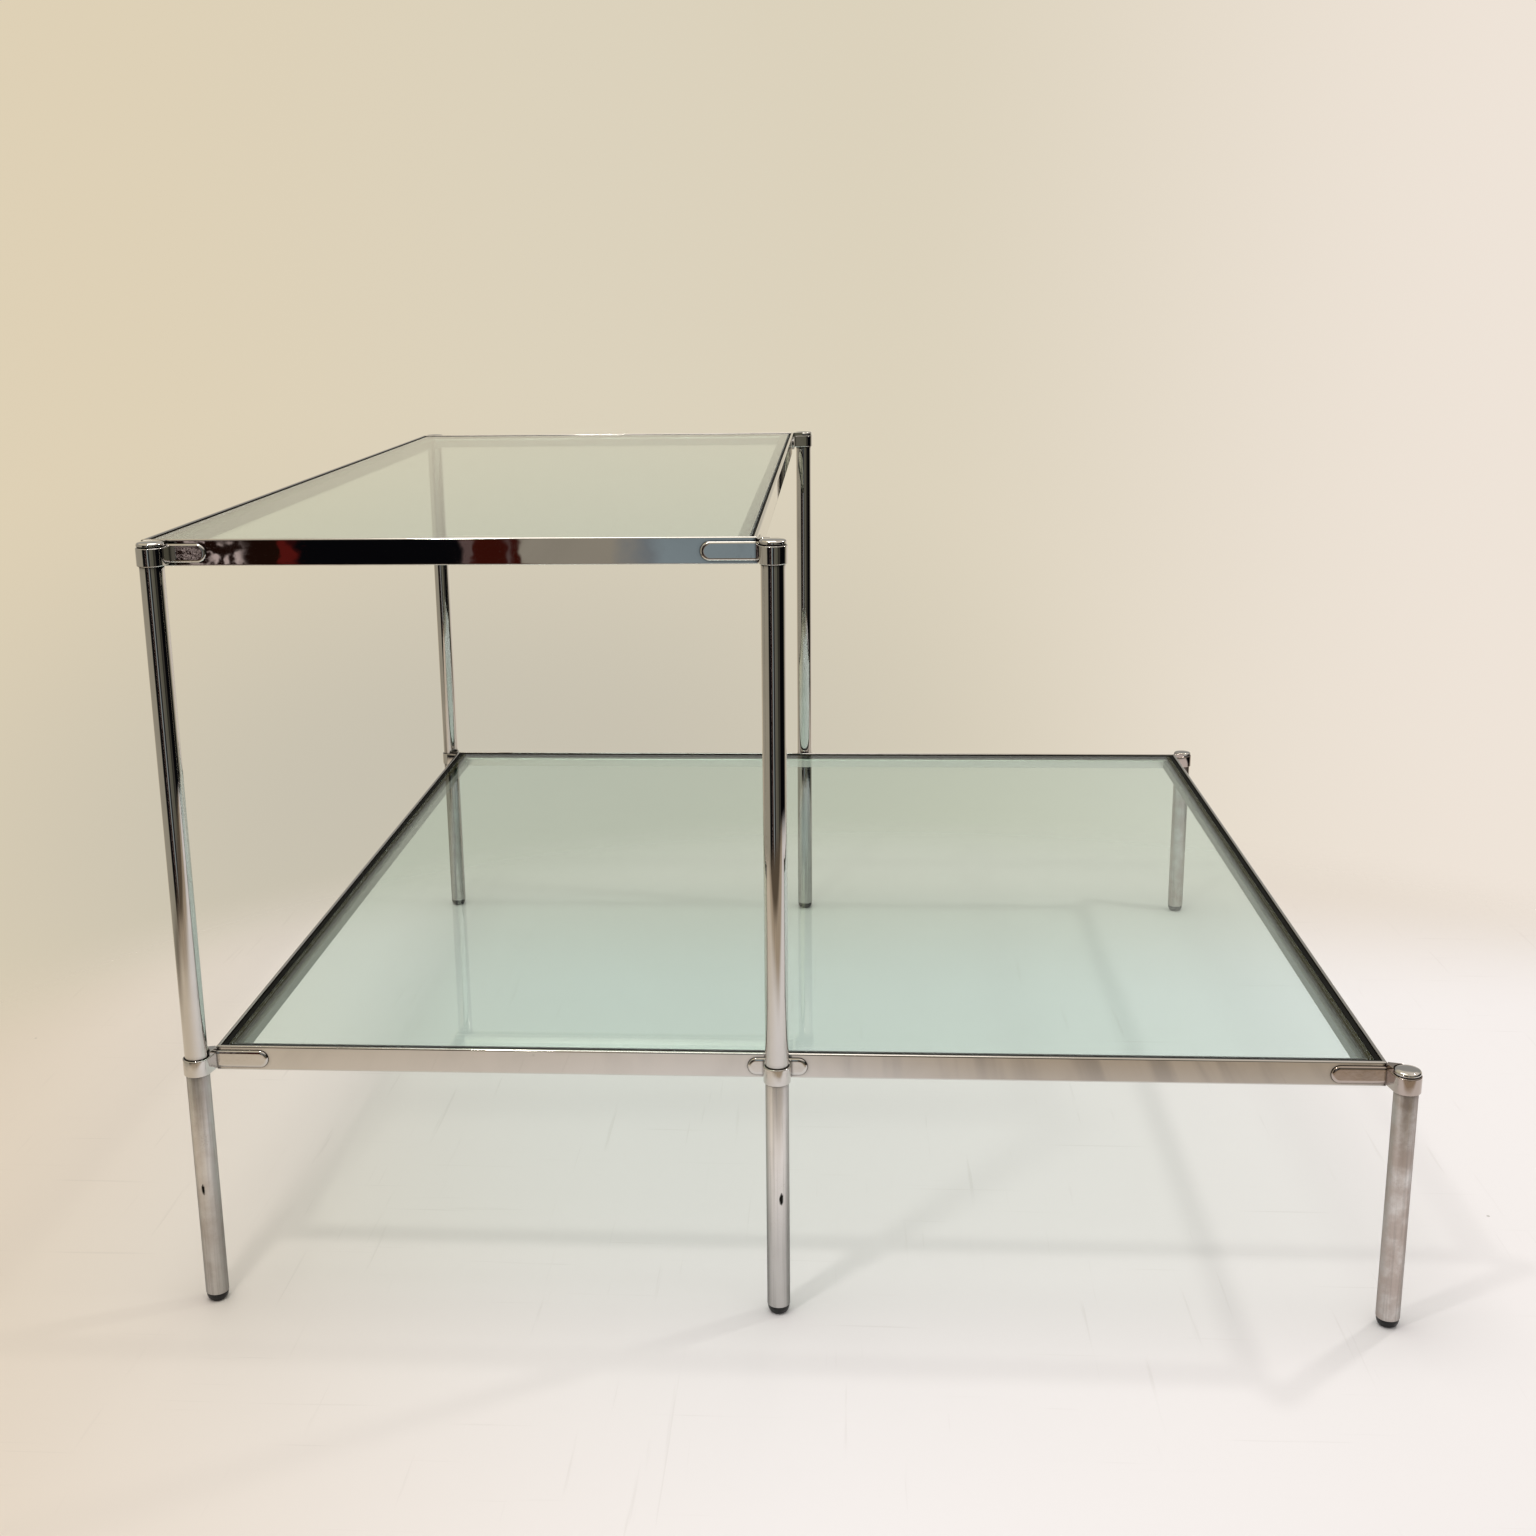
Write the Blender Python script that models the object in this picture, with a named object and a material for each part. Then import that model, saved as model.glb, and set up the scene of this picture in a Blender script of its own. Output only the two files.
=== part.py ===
"""Two-tier side table: chromed tube legs, cast connectors, mitred hollow rails and loose glass panes.

Metres, +Z up. The origin is on the floor under the middle of the table, and the front is at -Y.
"""

import math

import bmesh
import bpy
from mathutils import Matrix, Vector

MM = 0.001

# Gap left between two pieces that touch
SEAT_GAP = 0.3 * MM

# Frames, over the outer faces of the rails and up to their top edges
LOWER_WIDTH = 1000 * MM
FRAME_DEPTH = 1000 * MM
UPPER_WIDTH = 502 * MM
UPPER_OVERHANG = 25 * MM
LOWER_TOP = 237 * MM
UPPER_TOP = 680.5 * MM

# Rail section: a hollow base with a ledge for the glass, and an upstand outside it
RAIL_HEIGHT = 22 * MM
UPSTAND_THICKNESS = 3.2 * MM
LEDGE_WIDTH = 15 * MM
RAIL_WALL = 1.5 * MM
RAIL_BOTTOM_RADIUS = 2.5 * MM
RAIL_TOP_RADIUS = 1.0 * MM
LEDGE_EDGE_RADIUS = 1.0 * MM

# Glass and the seals that carry it
GLASS_THICKNESS = 8 * MM
GLASS_DROP = 1.0 * MM
GLASS_CORNER_RADIUS = 3 * MM
GLASS_ARRIS = 0.8 * MM
LOWER_SEAL_WIDTH = 4.6 * MM
UPPER_SEAL_WIDTH = 2.0 * MM
SEAL_LIP_THICKNESS = 1.4 * MM
SEAL_BEARING = 6 * MM
SEAL_DROP = 1.4 * MM

# Legs, posts and the spigots that join them
TUBE_DIAMETER = 20 * MM
TUBE_WALL = 1.5 * MM
JOINT_SPIGOT_LENGTH = 60 * MM
JOINT_SHOULDER = 2 * MM
SPIGOT_CHAMFER = 1.5 * MM

# Caps on the leg tops
CAP_INSET = 0.65 * MM
CAP_RISE = 0.4 * MM
CAP_EDGE_RADIUS = 1.0 * MM
CAP_UNDERCUT = 1.0 * MM
CAP_SPIGOT_LENGTH = 14 * MM

# Glides under the legs
GLIDE_HEIGHT = 7.5 * MM
GLIDE_FLAT_RADIUS = 5.5 * MM
GLIDE_INSET = 0.4 * MM
GLIDE_SPIGOT_LENGTH = 16 * MM

# Cast connectors
COLLAR_WALL = 1.45 * MM
COLLAR_BACK = 0.2 * MM
COLLAR_TOP_MARGIN = 4.4 * MM
COLLAR_BOTTOM_MARGIN = 2.6 * MM
TONGUE_THICKNESS = 1.9 * MM
TONGUE_TOP_MARGIN = 3.6 * MM
TONGUE_BOTTOM_MARGIN = 3.0 * MM
TONGUE_REACH = 46 * MM
END_TONGUE_REACH = 53.5 * MM
TAB_LENGTH = 51 * MM
CORNER_WEB_REACH = 1.5 * MM
TAB_WEB_REACH = 11.9 * MM
COLLAR_CHAMFER = 0.6 * MM
TONGUE_CHAMFER = 0.6 * MM
CREST_DROP = 0.2 * MM
CREST_BACK = 0.5 * MM
CREST_ROOT = 1.5 * MM
CREST_SPREAD = 9 * MM
CORNER_CREST_SWING = 40
END_CREST_SWING = 50

# Facets
ROUND_STEPS = 20
ROUND_END_STEPS = 8
FILLET_STEPS = 3
MERGE_DISTANCE = 0.001 * MM
SHARP_ANGLE = math.radians(35)

# Sizes that follow from the ones above
TUBE_RADIUS = TUBE_DIAMETER / 2
TUBE_BORE_RADIUS = TUBE_RADIUS - TUBE_WALL
SPIGOT_RADIUS = TUBE_BORE_RADIUS - SEAT_GAP
COLLAR_BORE_RADIUS = TUBE_RADIUS + SEAT_GAP
COLLAR_RADIUS = COLLAR_BORE_RADIUS + COLLAR_WALL
CAP_RADIUS = COLLAR_RADIUS - CAP_INSET
LEG_STANDOFF = SEAT_GAP + TONGUE_THICKNESS + COLLAR_BACK + COLLAR_BORE_RADIUS
LEDGE_DEPTH = GLASS_DROP + GLASS_THICKNESS + SEAL_LIP_THICKNESS + 2 * SEAT_GAP
BASE_WIDTH = UPSTAND_THICKNESS + LEDGE_WIDTH
MITRE_RECESS = SEAT_GAP / math.sqrt(2)
TONGUE_FRONT = SEAT_GAP + TONGUE_THICKNESS
WEB_BACK = SEAT_GAP + TONGUE_THICKNESS / 2

COLLAR_REACH = LEG_STANDOFF + COLLAR_RADIUS
LEFT_REACH = max(COLLAR_REACH, UPPER_OVERHANG + TONGUE_FRONT)
LEFT = (LEFT_REACH - COLLAR_REACH - LOWER_WIDTH) / 2
RIGHT = LEFT + LOWER_WIDTH
UPPER_LEFT = LEFT - UPPER_OVERHANG
UPPER_RIGHT = UPPER_LEFT + UPPER_WIDTH
FRONT = -FRAME_DEPTH / 2
REAR = FRAME_DEPTH / 2
LEG_X = {
    "left": LEFT - LEG_STANDOFF,
    "middle": UPPER_RIGHT + LEG_STANDOFF,
    "right": RIGHT + LEG_STANDOFF,
}
LEG_Y = {"front": FRONT - LEG_STANDOFF, "rear": REAR + LEG_STANDOFF}
POST_SIDES = ("left", "middle")
JOINT_HEIGHT = LOWER_TOP - (COLLAR_TOP_MARGIN + RAIL_HEIGHT - COLLAR_BOTTOM_MARGIN) / 2

# Colour, metallic and roughness of each finish
FINISHES = {
    "polished_chrome": ((0.80, 0.79, 0.77), 1.0, 0.08),
    "worn_chrome": ((0.74, 0.73, 0.71), 1.0, 0.22),
    "cast_chrome": ((0.78, 0.77, 0.75), 1.0, 0.14),
    "plain_steel": ((0.55, 0.55, 0.54), 1.0, 0.35),
    "black_plastic": ((0.02, 0.02, 0.02), 0.0, 0.45),
    "black_rubber": ((0.015, 0.015, 0.014), 0.0, 0.6),
    "pale_green_glass": ((0.78, 0.90, 0.84), 0.0, 0.03),
}


def clear_scene():
    for obj in list(bpy.data.objects):
        bpy.data.objects.remove(obj, do_unlink=True)


def make_finish(name):
    colour, metallic, roughness = FINISHES[name]
    material = bpy.data.materials.new(name)
    material.use_nodes = True
    shader = material.node_tree.nodes["Principled BSDF"]
    shader.inputs["Base Color"].default_value = (*colour, 1.0)
    shader.inputs["Metallic"].default_value = metallic
    shader.inputs["Roughness"].default_value = roughness
    return material


def finish_mesh(bm, name):
    """Turns a closed bmesh into a mesh whose faces point out and whose round faces are smooth."""
    bmesh.ops.recalc_face_normals(bm, faces=bm.faces[:])
    mesh = bpy.data.meshes.new(name)
    bm.to_mesh(mesh)
    bm.free()
    mesh.shade_smooth()
    mesh.set_sharp_from_angle(angle=SHARP_ANGLE)
    return mesh


def place(name, mesh, material, location=(0, 0, 0), turn=0.0):
    """Adds one named piece, turned about the vertical by an angle in degrees."""
    piece = bpy.data.objects.new(name, mesh)
    piece.location = location
    piece.rotation_euler.z = math.radians(turn)
    if not mesh.materials:
        mesh.materials.append(material)
    bpy.context.scene.collection.objects.link(piece)
    return piece


def arc(centre, radius, start, end, steps):
    """Points on an arc between two angles in degrees, both ends included."""
    points = []
    for i in range(steps + 1):
        angle = math.radians(start + (end - start) * i / steps)
        points.append((centre[0] + radius * math.cos(angle), centre[1] + radius * math.sin(angle)))
    return points


def inset(outline, distance):
    """Moves each side of an anticlockwise outline inwards by a distance."""
    moved = []
    count = len(outline)
    for i in range(count):
        before = Vector(outline[i - 1])
        here = Vector(outline[i])
        after = Vector(outline[(i + 1) % count])
        first = (here - before).normalized()
        second = (after - here).normalized()
        first_in = Vector((-first.y, first.x))
        second_in = Vector((-second.y, second.x))
        shift = (first_in + second_in) * (distance / (1 + first_in.dot(second_in)))
        moved.append(tuple(here + shift))
    return moved


def add_ring(bm, points):
    """Adds a closed ring of vertices and returns it with its edges."""
    verts = [bm.verts.new(point) for point in points]
    edges = []
    for i, vert in enumerate(verts):
        edges.append(bm.edges.new((vert, verts[(i + 1) % len(verts)])))
    return verts, edges


def join_rings(bm, first, second):
    count = len(first)
    for i in range(count):
        j = (i + 1) % count
        bm.faces.new((first[i], first[j], second[j], second[i]))


def revolve(profile, closed):
    """A turned solid from (radius, height) points: a ring, or a solid whose profile ends on the axis."""
    bm = bmesh.new()
    verts = [bm.verts.new((radius, 0, height)) for radius, height in profile]
    edges = [bm.edges.new(pair) for pair in zip(verts, verts[1:])]
    if closed:
        edges.append(bm.edges.new((verts[-1], verts[0])))
    bmesh.ops.spin(
        bm,
        geom=verts + edges,
        cent=(0, 0, 0),
        axis=(0, 0, 1),
        angle=math.tau,
        steps=ROUND_STEPS,
        use_merge=True,
    )
    bmesh.ops.remove_doubles(bm, verts=bm.verts[:], dist=MERGE_DISTANCE)
    return bm


def tube_mesh(name, length):
    """A leg or post: a tube that stands on its own origin."""
    profile = [
        (TUBE_BORE_RADIUS, 0),
        (TUBE_RADIUS, 0),
        (TUBE_RADIUS, length),
        (TUBE_BORE_RADIUS, length),
    ]
    return finish_mesh(revolve(profile, True), name)


def joint_spigot_mesh():
    """A shouldered spigot. Each tube end slides over one half and stops on the shoulder."""
    half_shoulder = JOINT_SHOULDER / 2
    half_length = JOINT_SPIGOT_LENGTH / 2
    tip_radius = SPIGOT_RADIUS - SPIGOT_CHAMFER
    upper_half = [
        (TUBE_RADIUS, half_shoulder),
        (SPIGOT_RADIUS, half_shoulder),
        (SPIGOT_RADIUS, half_length - SPIGOT_CHAMFER),
        (tip_radius, half_length),
        (0, half_length),
    ]
    lower_half = [(radius, -height) for radius, height in reversed(upper_half)]
    return finish_mesh(revolve(lower_half + upper_half, False), "joint_spigot")


def cap_mesh():
    """A round cap with a rolled edge, a relieved underside and a spigot, with its origin under the disc."""
    height = COLLAR_TOP_MARGIN + CAP_RISE - SEAT_GAP
    rim_centre = (CAP_RADIUS - CAP_EDGE_RADIUS, height - CAP_EDGE_RADIUS)
    profile = [
        (0, -CAP_SPIGOT_LENGTH),
        (SPIGOT_RADIUS - SPIGOT_CHAMFER, -CAP_SPIGOT_LENGTH),
        (SPIGOT_RADIUS, -CAP_SPIGOT_LENGTH + SPIGOT_CHAMFER),
        (SPIGOT_RADIUS, 0),
        (CAP_RADIUS - CAP_UNDERCUT, 0),
        (CAP_RADIUS, CAP_UNDERCUT),
    ]
    profile += arc(rim_centre, CAP_EDGE_RADIUS, 0, 90, FILLET_STEPS)
    profile.append((0, height))
    return finish_mesh(revolve(profile, False), "cap")


def glide_mesh():
    """A domed foot with a flat underside and a spigot, standing on its own origin."""
    shoulder_radius = TUBE_RADIUS - GLIDE_INSET
    dome_reach = shoulder_radius - GLIDE_FLAT_RADIUS
    profile = [(0, 0)]
    for i in range(FILLET_STEPS + 1):
        angle = math.radians(90 * i / FILLET_STEPS)
        radius = GLIDE_FLAT_RADIUS + dome_reach * math.sin(angle)
        profile.append((radius, GLIDE_HEIGHT * (1 - math.cos(angle))))
    top = GLIDE_HEIGHT + GLIDE_SPIGOT_LENGTH
    profile += [
        (SPIGOT_RADIUS, GLIDE_HEIGHT),
        (SPIGOT_RADIUS, top - SPIGOT_CHAMFER),
        (SPIGOT_RADIUS - SPIGOT_CHAMFER, top),
        (0, top),
    ]
    return finish_mesh(revolve(profile, False), "glide")


def mitred_mesh(name, half_length, section, hole):
    """A straight bar along X whose section runs inwards along Y. Both ends are cut at 45 degrees."""
    bm = bmesh.new()
    outer_rings = []
    hole_rings = []
    for end in (-1, 1):
        rim = []
        for points, rings in ((section, outer_rings), (hole, hole_rings)):
            if not points:
                continue
            reach = half_length - MITRE_RECESS
            verts, edges = add_ring(bm, [(end * (reach - u), u, z) for u, z in points])
            rings.append(verts)
            rim += edges
        bmesh.ops.triangle_fill(bm, use_beauty=True, edges=rim)
    join_rings(bm, *outer_rings)
    if hole_rings:
        join_rings(bm, *hole_rings)
    return finish_mesh(bm, name)


def rail_section():
    """The rail's section, anticlockwise: distance in from the outer face, and height from the top edge."""
    low = RAIL_BOTTOM_RADIUS
    top = RAIL_TOP_RADIUS
    ledge = LEDGE_EDGE_RADIUS
    section = arc((low, low - RAIL_HEIGHT), low, 180, 270, FILLET_STEPS)
    section += arc((BASE_WIDTH - low, low - RAIL_HEIGHT), low, 270, 360, FILLET_STEPS)
    section += arc((BASE_WIDTH - ledge, -LEDGE_DEPTH - ledge), ledge, 0, 90, FILLET_STEPS)
    section.append((UPSTAND_THICKNESS, -LEDGE_DEPTH))
    section += arc((UPSTAND_THICKNESS - top, -top), top, 0, 90, FILLET_STEPS)
    section += arc((top, -top), top, 90, 180, FILLET_STEPS)
    hole = [
        (RAIL_WALL, RAIL_WALL - RAIL_HEIGHT),
        (BASE_WIDTH - RAIL_WALL, RAIL_WALL - RAIL_HEIGHT),
        (BASE_WIDTH - RAIL_WALL, -LEDGE_DEPTH - RAIL_WALL),
        (RAIL_WALL, -LEDGE_DEPTH - RAIL_WALL),
    ]
    return section, hole


def seal_section(width):
    """An L-shaped strip: a wall between the rail and the glass, and a lip under the glass."""
    outside = UPSTAND_THICKNESS + SEAT_GAP
    lip_bottom = SEAT_GAP - LEDGE_DEPTH
    lip_top = lip_bottom + SEAL_LIP_THICKNESS
    return [
        (outside, lip_bottom),
        (outside + width + SEAL_BEARING, lip_bottom),
        (outside + width + SEAL_BEARING, lip_top),
        (outside + width, lip_top),
        (outside + width, -SEAL_DROP),
        (outside, -SEAL_DROP),
    ]


def pane_mesh(name, width, depth):
    """A pane with small round corners and ground arrises, centred on its own origin."""
    half = GLASS_THICKNESS / 2
    radius = GLASS_CORNER_RADIUS
    across = width / 2 - radius
    along = depth / 2 - radius
    outline = []
    centres = ((across, along), (-across, along), (-across, -along), (across, -along))
    for quarter, centre in enumerate(centres):
        outline += arc(centre, radius, 90 * quarter, 90 * quarter + 90, FILLET_STEPS)
    small = inset(outline, GLASS_ARRIS)
    bm = bmesh.new()
    rings = []
    for points, height in (
        (small, -half),
        (outline, GLASS_ARRIS - half),
        (outline, half - GLASS_ARRIS),
        (small, half),
    ):
        rings.append(add_ring(bm, [(x, y, height) for x, y in points])[0])
    for first, second in zip(rings, rings[1:]):
        join_rings(bm, first, second)
    bm.faces.new(rings[0])
    bm.faces.new(rings[-1])
    return finish_mesh(bm, name)


def tangent_angle(centre, point, side):
    """Angle, in degrees, of the point where a line from an outside point touches the collar."""
    away = Vector(point) - Vector(centre)
    swing = math.degrees(math.acos(COLLAR_RADIUS / away.length))
    return math.degrees(math.atan2(away.y, away.x)) + side * swing


def collar_outline(centre, inner):
    """Plan of a collar with a web: the inner points run clockwise, and flat flanks touch the collar."""
    start = tangent_angle(centre, inner[0], 1)
    end = tangent_angle(centre, inner[-1], -1)
    while end < start:
        end += 360
    round_side = arc(centre, COLLAR_RADIUS, start, end, ROUND_STEPS - 4)
    return round_side + list(reversed(inner))


def collar_mesh(centre, inner):
    """The collar and its web: an upright prism with chamfered rims and a bore for the tube."""
    bottom = COLLAR_BOTTOM_MARGIN - RAIL_HEIGHT
    top = -COLLAR_TOP_MARGIN
    outline = collar_outline(centre, inner)
    small = inset(outline, COLLAR_CHAMFER)
    bore = arc(centre, COLLAR_BORE_RADIUS, 0, 360, ROUND_STEPS)[:-1]
    bm = bmesh.new()
    rings = []
    for points, height in (
        (small, bottom),
        (outline, bottom + COLLAR_CHAMFER),
        (outline, top - COLLAR_CHAMFER),
        (small, top),
    ):
        rings.append(add_ring(bm, [(x, y, height) for x, y in points]))
    for first, second in zip(rings, rings[1:]):
        join_rings(bm, first[0], second[0])
    bores = [add_ring(bm, [(x, y, height) for x, y in bore]) for height in (bottom, top)]
    join_rings(bm, bores[0][0], bores[1][0])
    for rim, hole in ((rings[0], bores[0]), (rings[-1], bores[1])):
        bmesh.ops.triangle_fill(bm, use_beauty=True, edges=rim[1] + hole[1])
    return finish_mesh(bm, "collar")


def crest_mesh(centre, inner, facing, swing):
    """The top of a web, level with the rail, which fills the space between the rail and the cap."""
    hollow = arc(centre, CAP_RADIUS + SEAT_GAP, facing + swing, facing - swing, ROUND_END_STEPS)
    outline = hollow + list(reversed(inner))
    bm = bmesh.new()
    rings = []
    for height in (-COLLAR_TOP_MARGIN - CREST_ROOT, -CREST_DROP):
        rings.append(add_ring(bm, [(x, y, height) for x, y in outline])[0])
    join_rings(bm, *rings)
    for ring in rings:
        bm.faces.new(ring)
    return finish_mesh(bm, "crest")


def bent_point(along, depth, height):
    """A point of a strap, at a distance along it from the frame's corner and a depth off the rails."""
    if abs(along) < MERGE_DISTANCE:
        return (-depth, -depth, height)
    if along < 0:
        return (-depth, -along, height)
    return (along, -depth, height)


def straight_point(along, depth, height):
    return (along, -depth, height)


def strap_mesh(start, end, point):
    """A plate on the rails' outer faces, with two full-round ends and a chamfered face."""
    low = TONGUE_BOTTOM_MARGIN - RAIL_HEIGHT
    high = -TONGUE_TOP_MARGIN
    radius = (high - low) / 2
    middle = (high + low) / 2
    outline = [(0, low)] + arc((end - radius, middle), radius, -90, 90, ROUND_END_STEPS)
    top = len(outline)
    outline += [(0, high)] + arc((start + radius, middle), radius, 90, 270, ROUND_END_STEPS)
    small = inset(outline, TONGUE_CHAMFER)
    bm = bmesh.new()
    rings = []
    for points, depth in (
        (outline, SEAT_GAP),
        (outline, TONGUE_FRONT - TONGUE_CHAMFER),
        (small, TONGUE_FRONT),
    ):
        rings.append(add_ring(bm, [point(along, depth, height) for along, height in points])[0])
    for first, second in zip(rings, rings[1:]):
        join_rings(bm, first, second)
    for ring in (rings[0], rings[-1]):
        bm.faces.new(ring[: top + 1])
        bm.faces.new(ring[top:] + ring[:1])
    return finish_mesh(bm, "strap")


def swapped(mesh):
    """The other hand of a corner casting: X and Y change places."""
    other_hand = mesh.copy()
    other_hand.transform(Matrix(((0, 1, 0, 0), (1, 0, 0, 0), (0, 0, 1, 0), (0, 0, 0, 1))))
    other_hand.flip_normals()
    return other_hand


def united(name, meshes):
    """Joins overlapping closed meshes into one casting."""
    workers = []
    for mesh in meshes:
        worker = bpy.data.objects.new("worker", mesh)
        bpy.context.scene.collection.objects.link(worker)
        workers.append(worker)
    for other in workers[1:]:
        join = workers[0].modifiers.new("join", "BOOLEAN")
        join.operation = "UNION"
        join.solver = "EXACT"
        join.object = other
    bpy.context.view_layer.update()
    graph = bpy.context.evaluated_depsgraph_get()
    casting = bpy.data.meshes.new_from_object(workers[0].evaluated_get(graph))
    casting.name = name
    for worker in workers:
        bpy.data.objects.remove(worker, do_unlink=True)
    casting.shade_smooth()
    casting.set_sharp_from_angle(angle=SHARP_ANGLE)
    return casting


def corner_connector_mesh():
    """A corner casting with its origin at the frame's outer corner, for rails along +X and +Y."""
    centre = (-LEG_STANDOFF, -LEG_STANDOFF)
    inner = [(-WEB_BACK, CORNER_WEB_REACH), (-WEB_BACK, -WEB_BACK), (CORNER_WEB_REACH, -WEB_BACK)]
    crest_inner = [
        (-CREST_BACK, CORNER_WEB_REACH),
        (-CREST_BACK, -CREST_BACK),
        (CORNER_WEB_REACH, -CREST_BACK),
    ]
    strap = strap_mesh(-TONGUE_REACH, TONGUE_REACH, bent_point)
    crest = crest_mesh(centre, crest_inner, 45, CORNER_CREST_SWING)
    return united("corner_connector", [collar_mesh(centre, inner), strap, crest])


def end_connector_mesh():
    """A corner casting for a post in front of the rail, with its origin at the frame's outer corner."""
    middle = UPPER_OVERHANG - LEG_STANDOFF
    centre = (middle, -LEG_STANDOFF)
    inner = [(middle - TAB_WEB_REACH, -WEB_BACK), (middle + TAB_WEB_REACH, -WEB_BACK)]
    crest_inner = [(middle - CREST_SPREAD, -CREST_BACK), (middle + CREST_SPREAD, -CREST_BACK)]
    strap = strap_mesh(-TONGUE_REACH, END_TONGUE_REACH, bent_point)
    crest = crest_mesh(centre, crest_inner, 90, END_CREST_SWING)
    return united("end_connector", [collar_mesh(centre, inner), strap, crest])


def middle_connector_mesh():
    """A casting for a leg that passes a straight rail, with its origin on the rail's outer face."""
    centre = (0, -LEG_STANDOFF)
    inner = [(-TAB_WEB_REACH, -WEB_BACK), (TAB_WEB_REACH, -WEB_BACK)]
    tab = strap_mesh(-TAB_LENGTH / 2, TAB_LENGTH / 2, straight_point)
    return united("middle_connector", [collar_mesh(centre, inner), tab])


def add_legs(finishes):
    """Legs, glides, posts, joining spigots and caps."""
    leg_bottom = GLIDE_HEIGHT + SEAT_GAP
    joint_half = JOINT_SHOULDER / 2 + SEAT_GAP
    collar_drop = COLLAR_TOP_MARGIN
    tall_leg = tube_mesh("tall_leg", JOINT_HEIGHT - joint_half - leg_bottom)
    short_leg = tube_mesh("short_leg", LOWER_TOP - collar_drop - leg_bottom)
    post = tube_mesh("post", UPPER_TOP - collar_drop - JOINT_HEIGHT - joint_half)
    glide = glide_mesh()
    spigot = joint_spigot_mesh()
    cap = cap_mesh()
    for row, y in LEG_Y.items():
        for side, x in LEG_X.items():
            where = f"{row}_{side}"
            has_post = side in POST_SIDES
            place(f"glide_{where}", glide, finishes["black_plastic"], (x, y, 0))
            leg = tall_leg if has_post else short_leg
            place(f"leg_{where}", leg, finishes["worn_chrome"], (x, y, leg_bottom))
            tier_top = UPPER_TOP if has_post else LOWER_TOP
            cap_seat = tier_top - collar_drop + SEAT_GAP
            place(f"cap_{where}", cap, finishes["polished_chrome"], (x, y, cap_seat))
            if has_post:
                place(f"post_{where}", post, finishes["polished_chrome"], (x, y, JOINT_HEIGHT + joint_half))
                place(f"joint_spigot_{where}", spigot, finishes["plain_steel"], (x, y, JOINT_HEIGHT))


def add_frame(tier, left, right, top, seal_width, connectors, finishes):
    """Four rails, four seals, one pane and four connectors of one tier. The connectors run anticlockwise."""
    width = right - left
    centre_x = (left + right) / 2
    section, hole = rail_section()
    seal = seal_section(seal_width)
    long_rail = mitred_mesh(f"{tier}_cross_rail", width / 2, section, hole)
    side_rail = mitred_mesh(f"{tier}_side_rail", FRAME_DEPTH / 2, section, hole)
    long_seal = mitred_mesh(f"{tier}_cross_seal", width / 2, seal, None)
    side_seal = mitred_mesh(f"{tier}_side_seal", FRAME_DEPTH / 2, seal, None)
    sides = {
        "front": ((centre_x, FRONT, top), 0, long_rail, long_seal),
        "right": ((right, 0, top), 90, side_rail, side_seal),
        "rear": ((centre_x, REAR, top), 180, long_rail, long_seal),
        "left": ((left, 0, top), 270, side_rail, side_seal),
    }
    for side, (location, turn, rail, strip) in sides.items():
        place(f"rail_{tier}_{side}", rail, finishes["polished_chrome"], location, turn)
        place(f"seal_{tier}_{side}", strip, finishes["black_rubber"], location, turn)
    edge = UPSTAND_THICKNESS + seal_width + 2 * SEAT_GAP
    pane = pane_mesh(f"{tier}_pane", width - 2 * edge, FRAME_DEPTH - 2 * edge)
    pane_height = top - GLASS_DROP - GLASS_THICKNESS / 2
    place(f"pane_{tier}", pane, finishes["pale_green_glass"], (centre_x, 0, pane_height))
    corners = ((left, FRONT), (right, FRONT), (right, REAR), (left, REAR))
    for i, (where, connector) in enumerate(connectors.items()):
        place(f"connector_{tier}_{where}", connector, finishes["cast_chrome"], (*corners[i], top), 90 * i)


def add_middle_connectors(finishes):
    connector = middle_connector_mesh()
    x = LEG_X["middle"]
    for row, y, turn in (("front", FRONT, 0), ("rear", REAR, 180)):
        place(f"connector_lower_{row}_middle", connector, finishes["cast_chrome"], (x, y, LOWER_TOP), turn)


def main():
    clear_scene()
    finishes = {name: make_finish(name) for name in FINISHES}
    corner = corner_connector_mesh()
    end = end_connector_mesh()
    lower_connectors = {
        "front_left": corner,
        "front_right": corner,
        "rear_right": corner,
        "rear_left": corner,
    }
    upper_connectors = {
        "front_left": end,
        "front_middle": corner,
        "rear_middle": corner,
        "rear_left": swapped(end),
    }
    add_legs(finishes)
    add_frame("lower", LEFT, RIGHT, LOWER_TOP, LOWER_SEAL_WIDTH, lower_connectors, finishes)
    add_frame("upper", UPPER_LEFT, UPPER_RIGHT, UPPER_TOP, UPPER_SEAL_WIDTH, upper_connectors, finishes)
    add_middle_connectors(finishes)


main()
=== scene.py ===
"""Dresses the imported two-tier side table: chromed metal, tinted glass, black rubber and a pale studio."""

import math

import bmesh
import bpy
from bpy.props import FloatProperty, FloatVectorProperty, IntProperty, PointerProperty
from mathutils import Matrix, Vector


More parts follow.
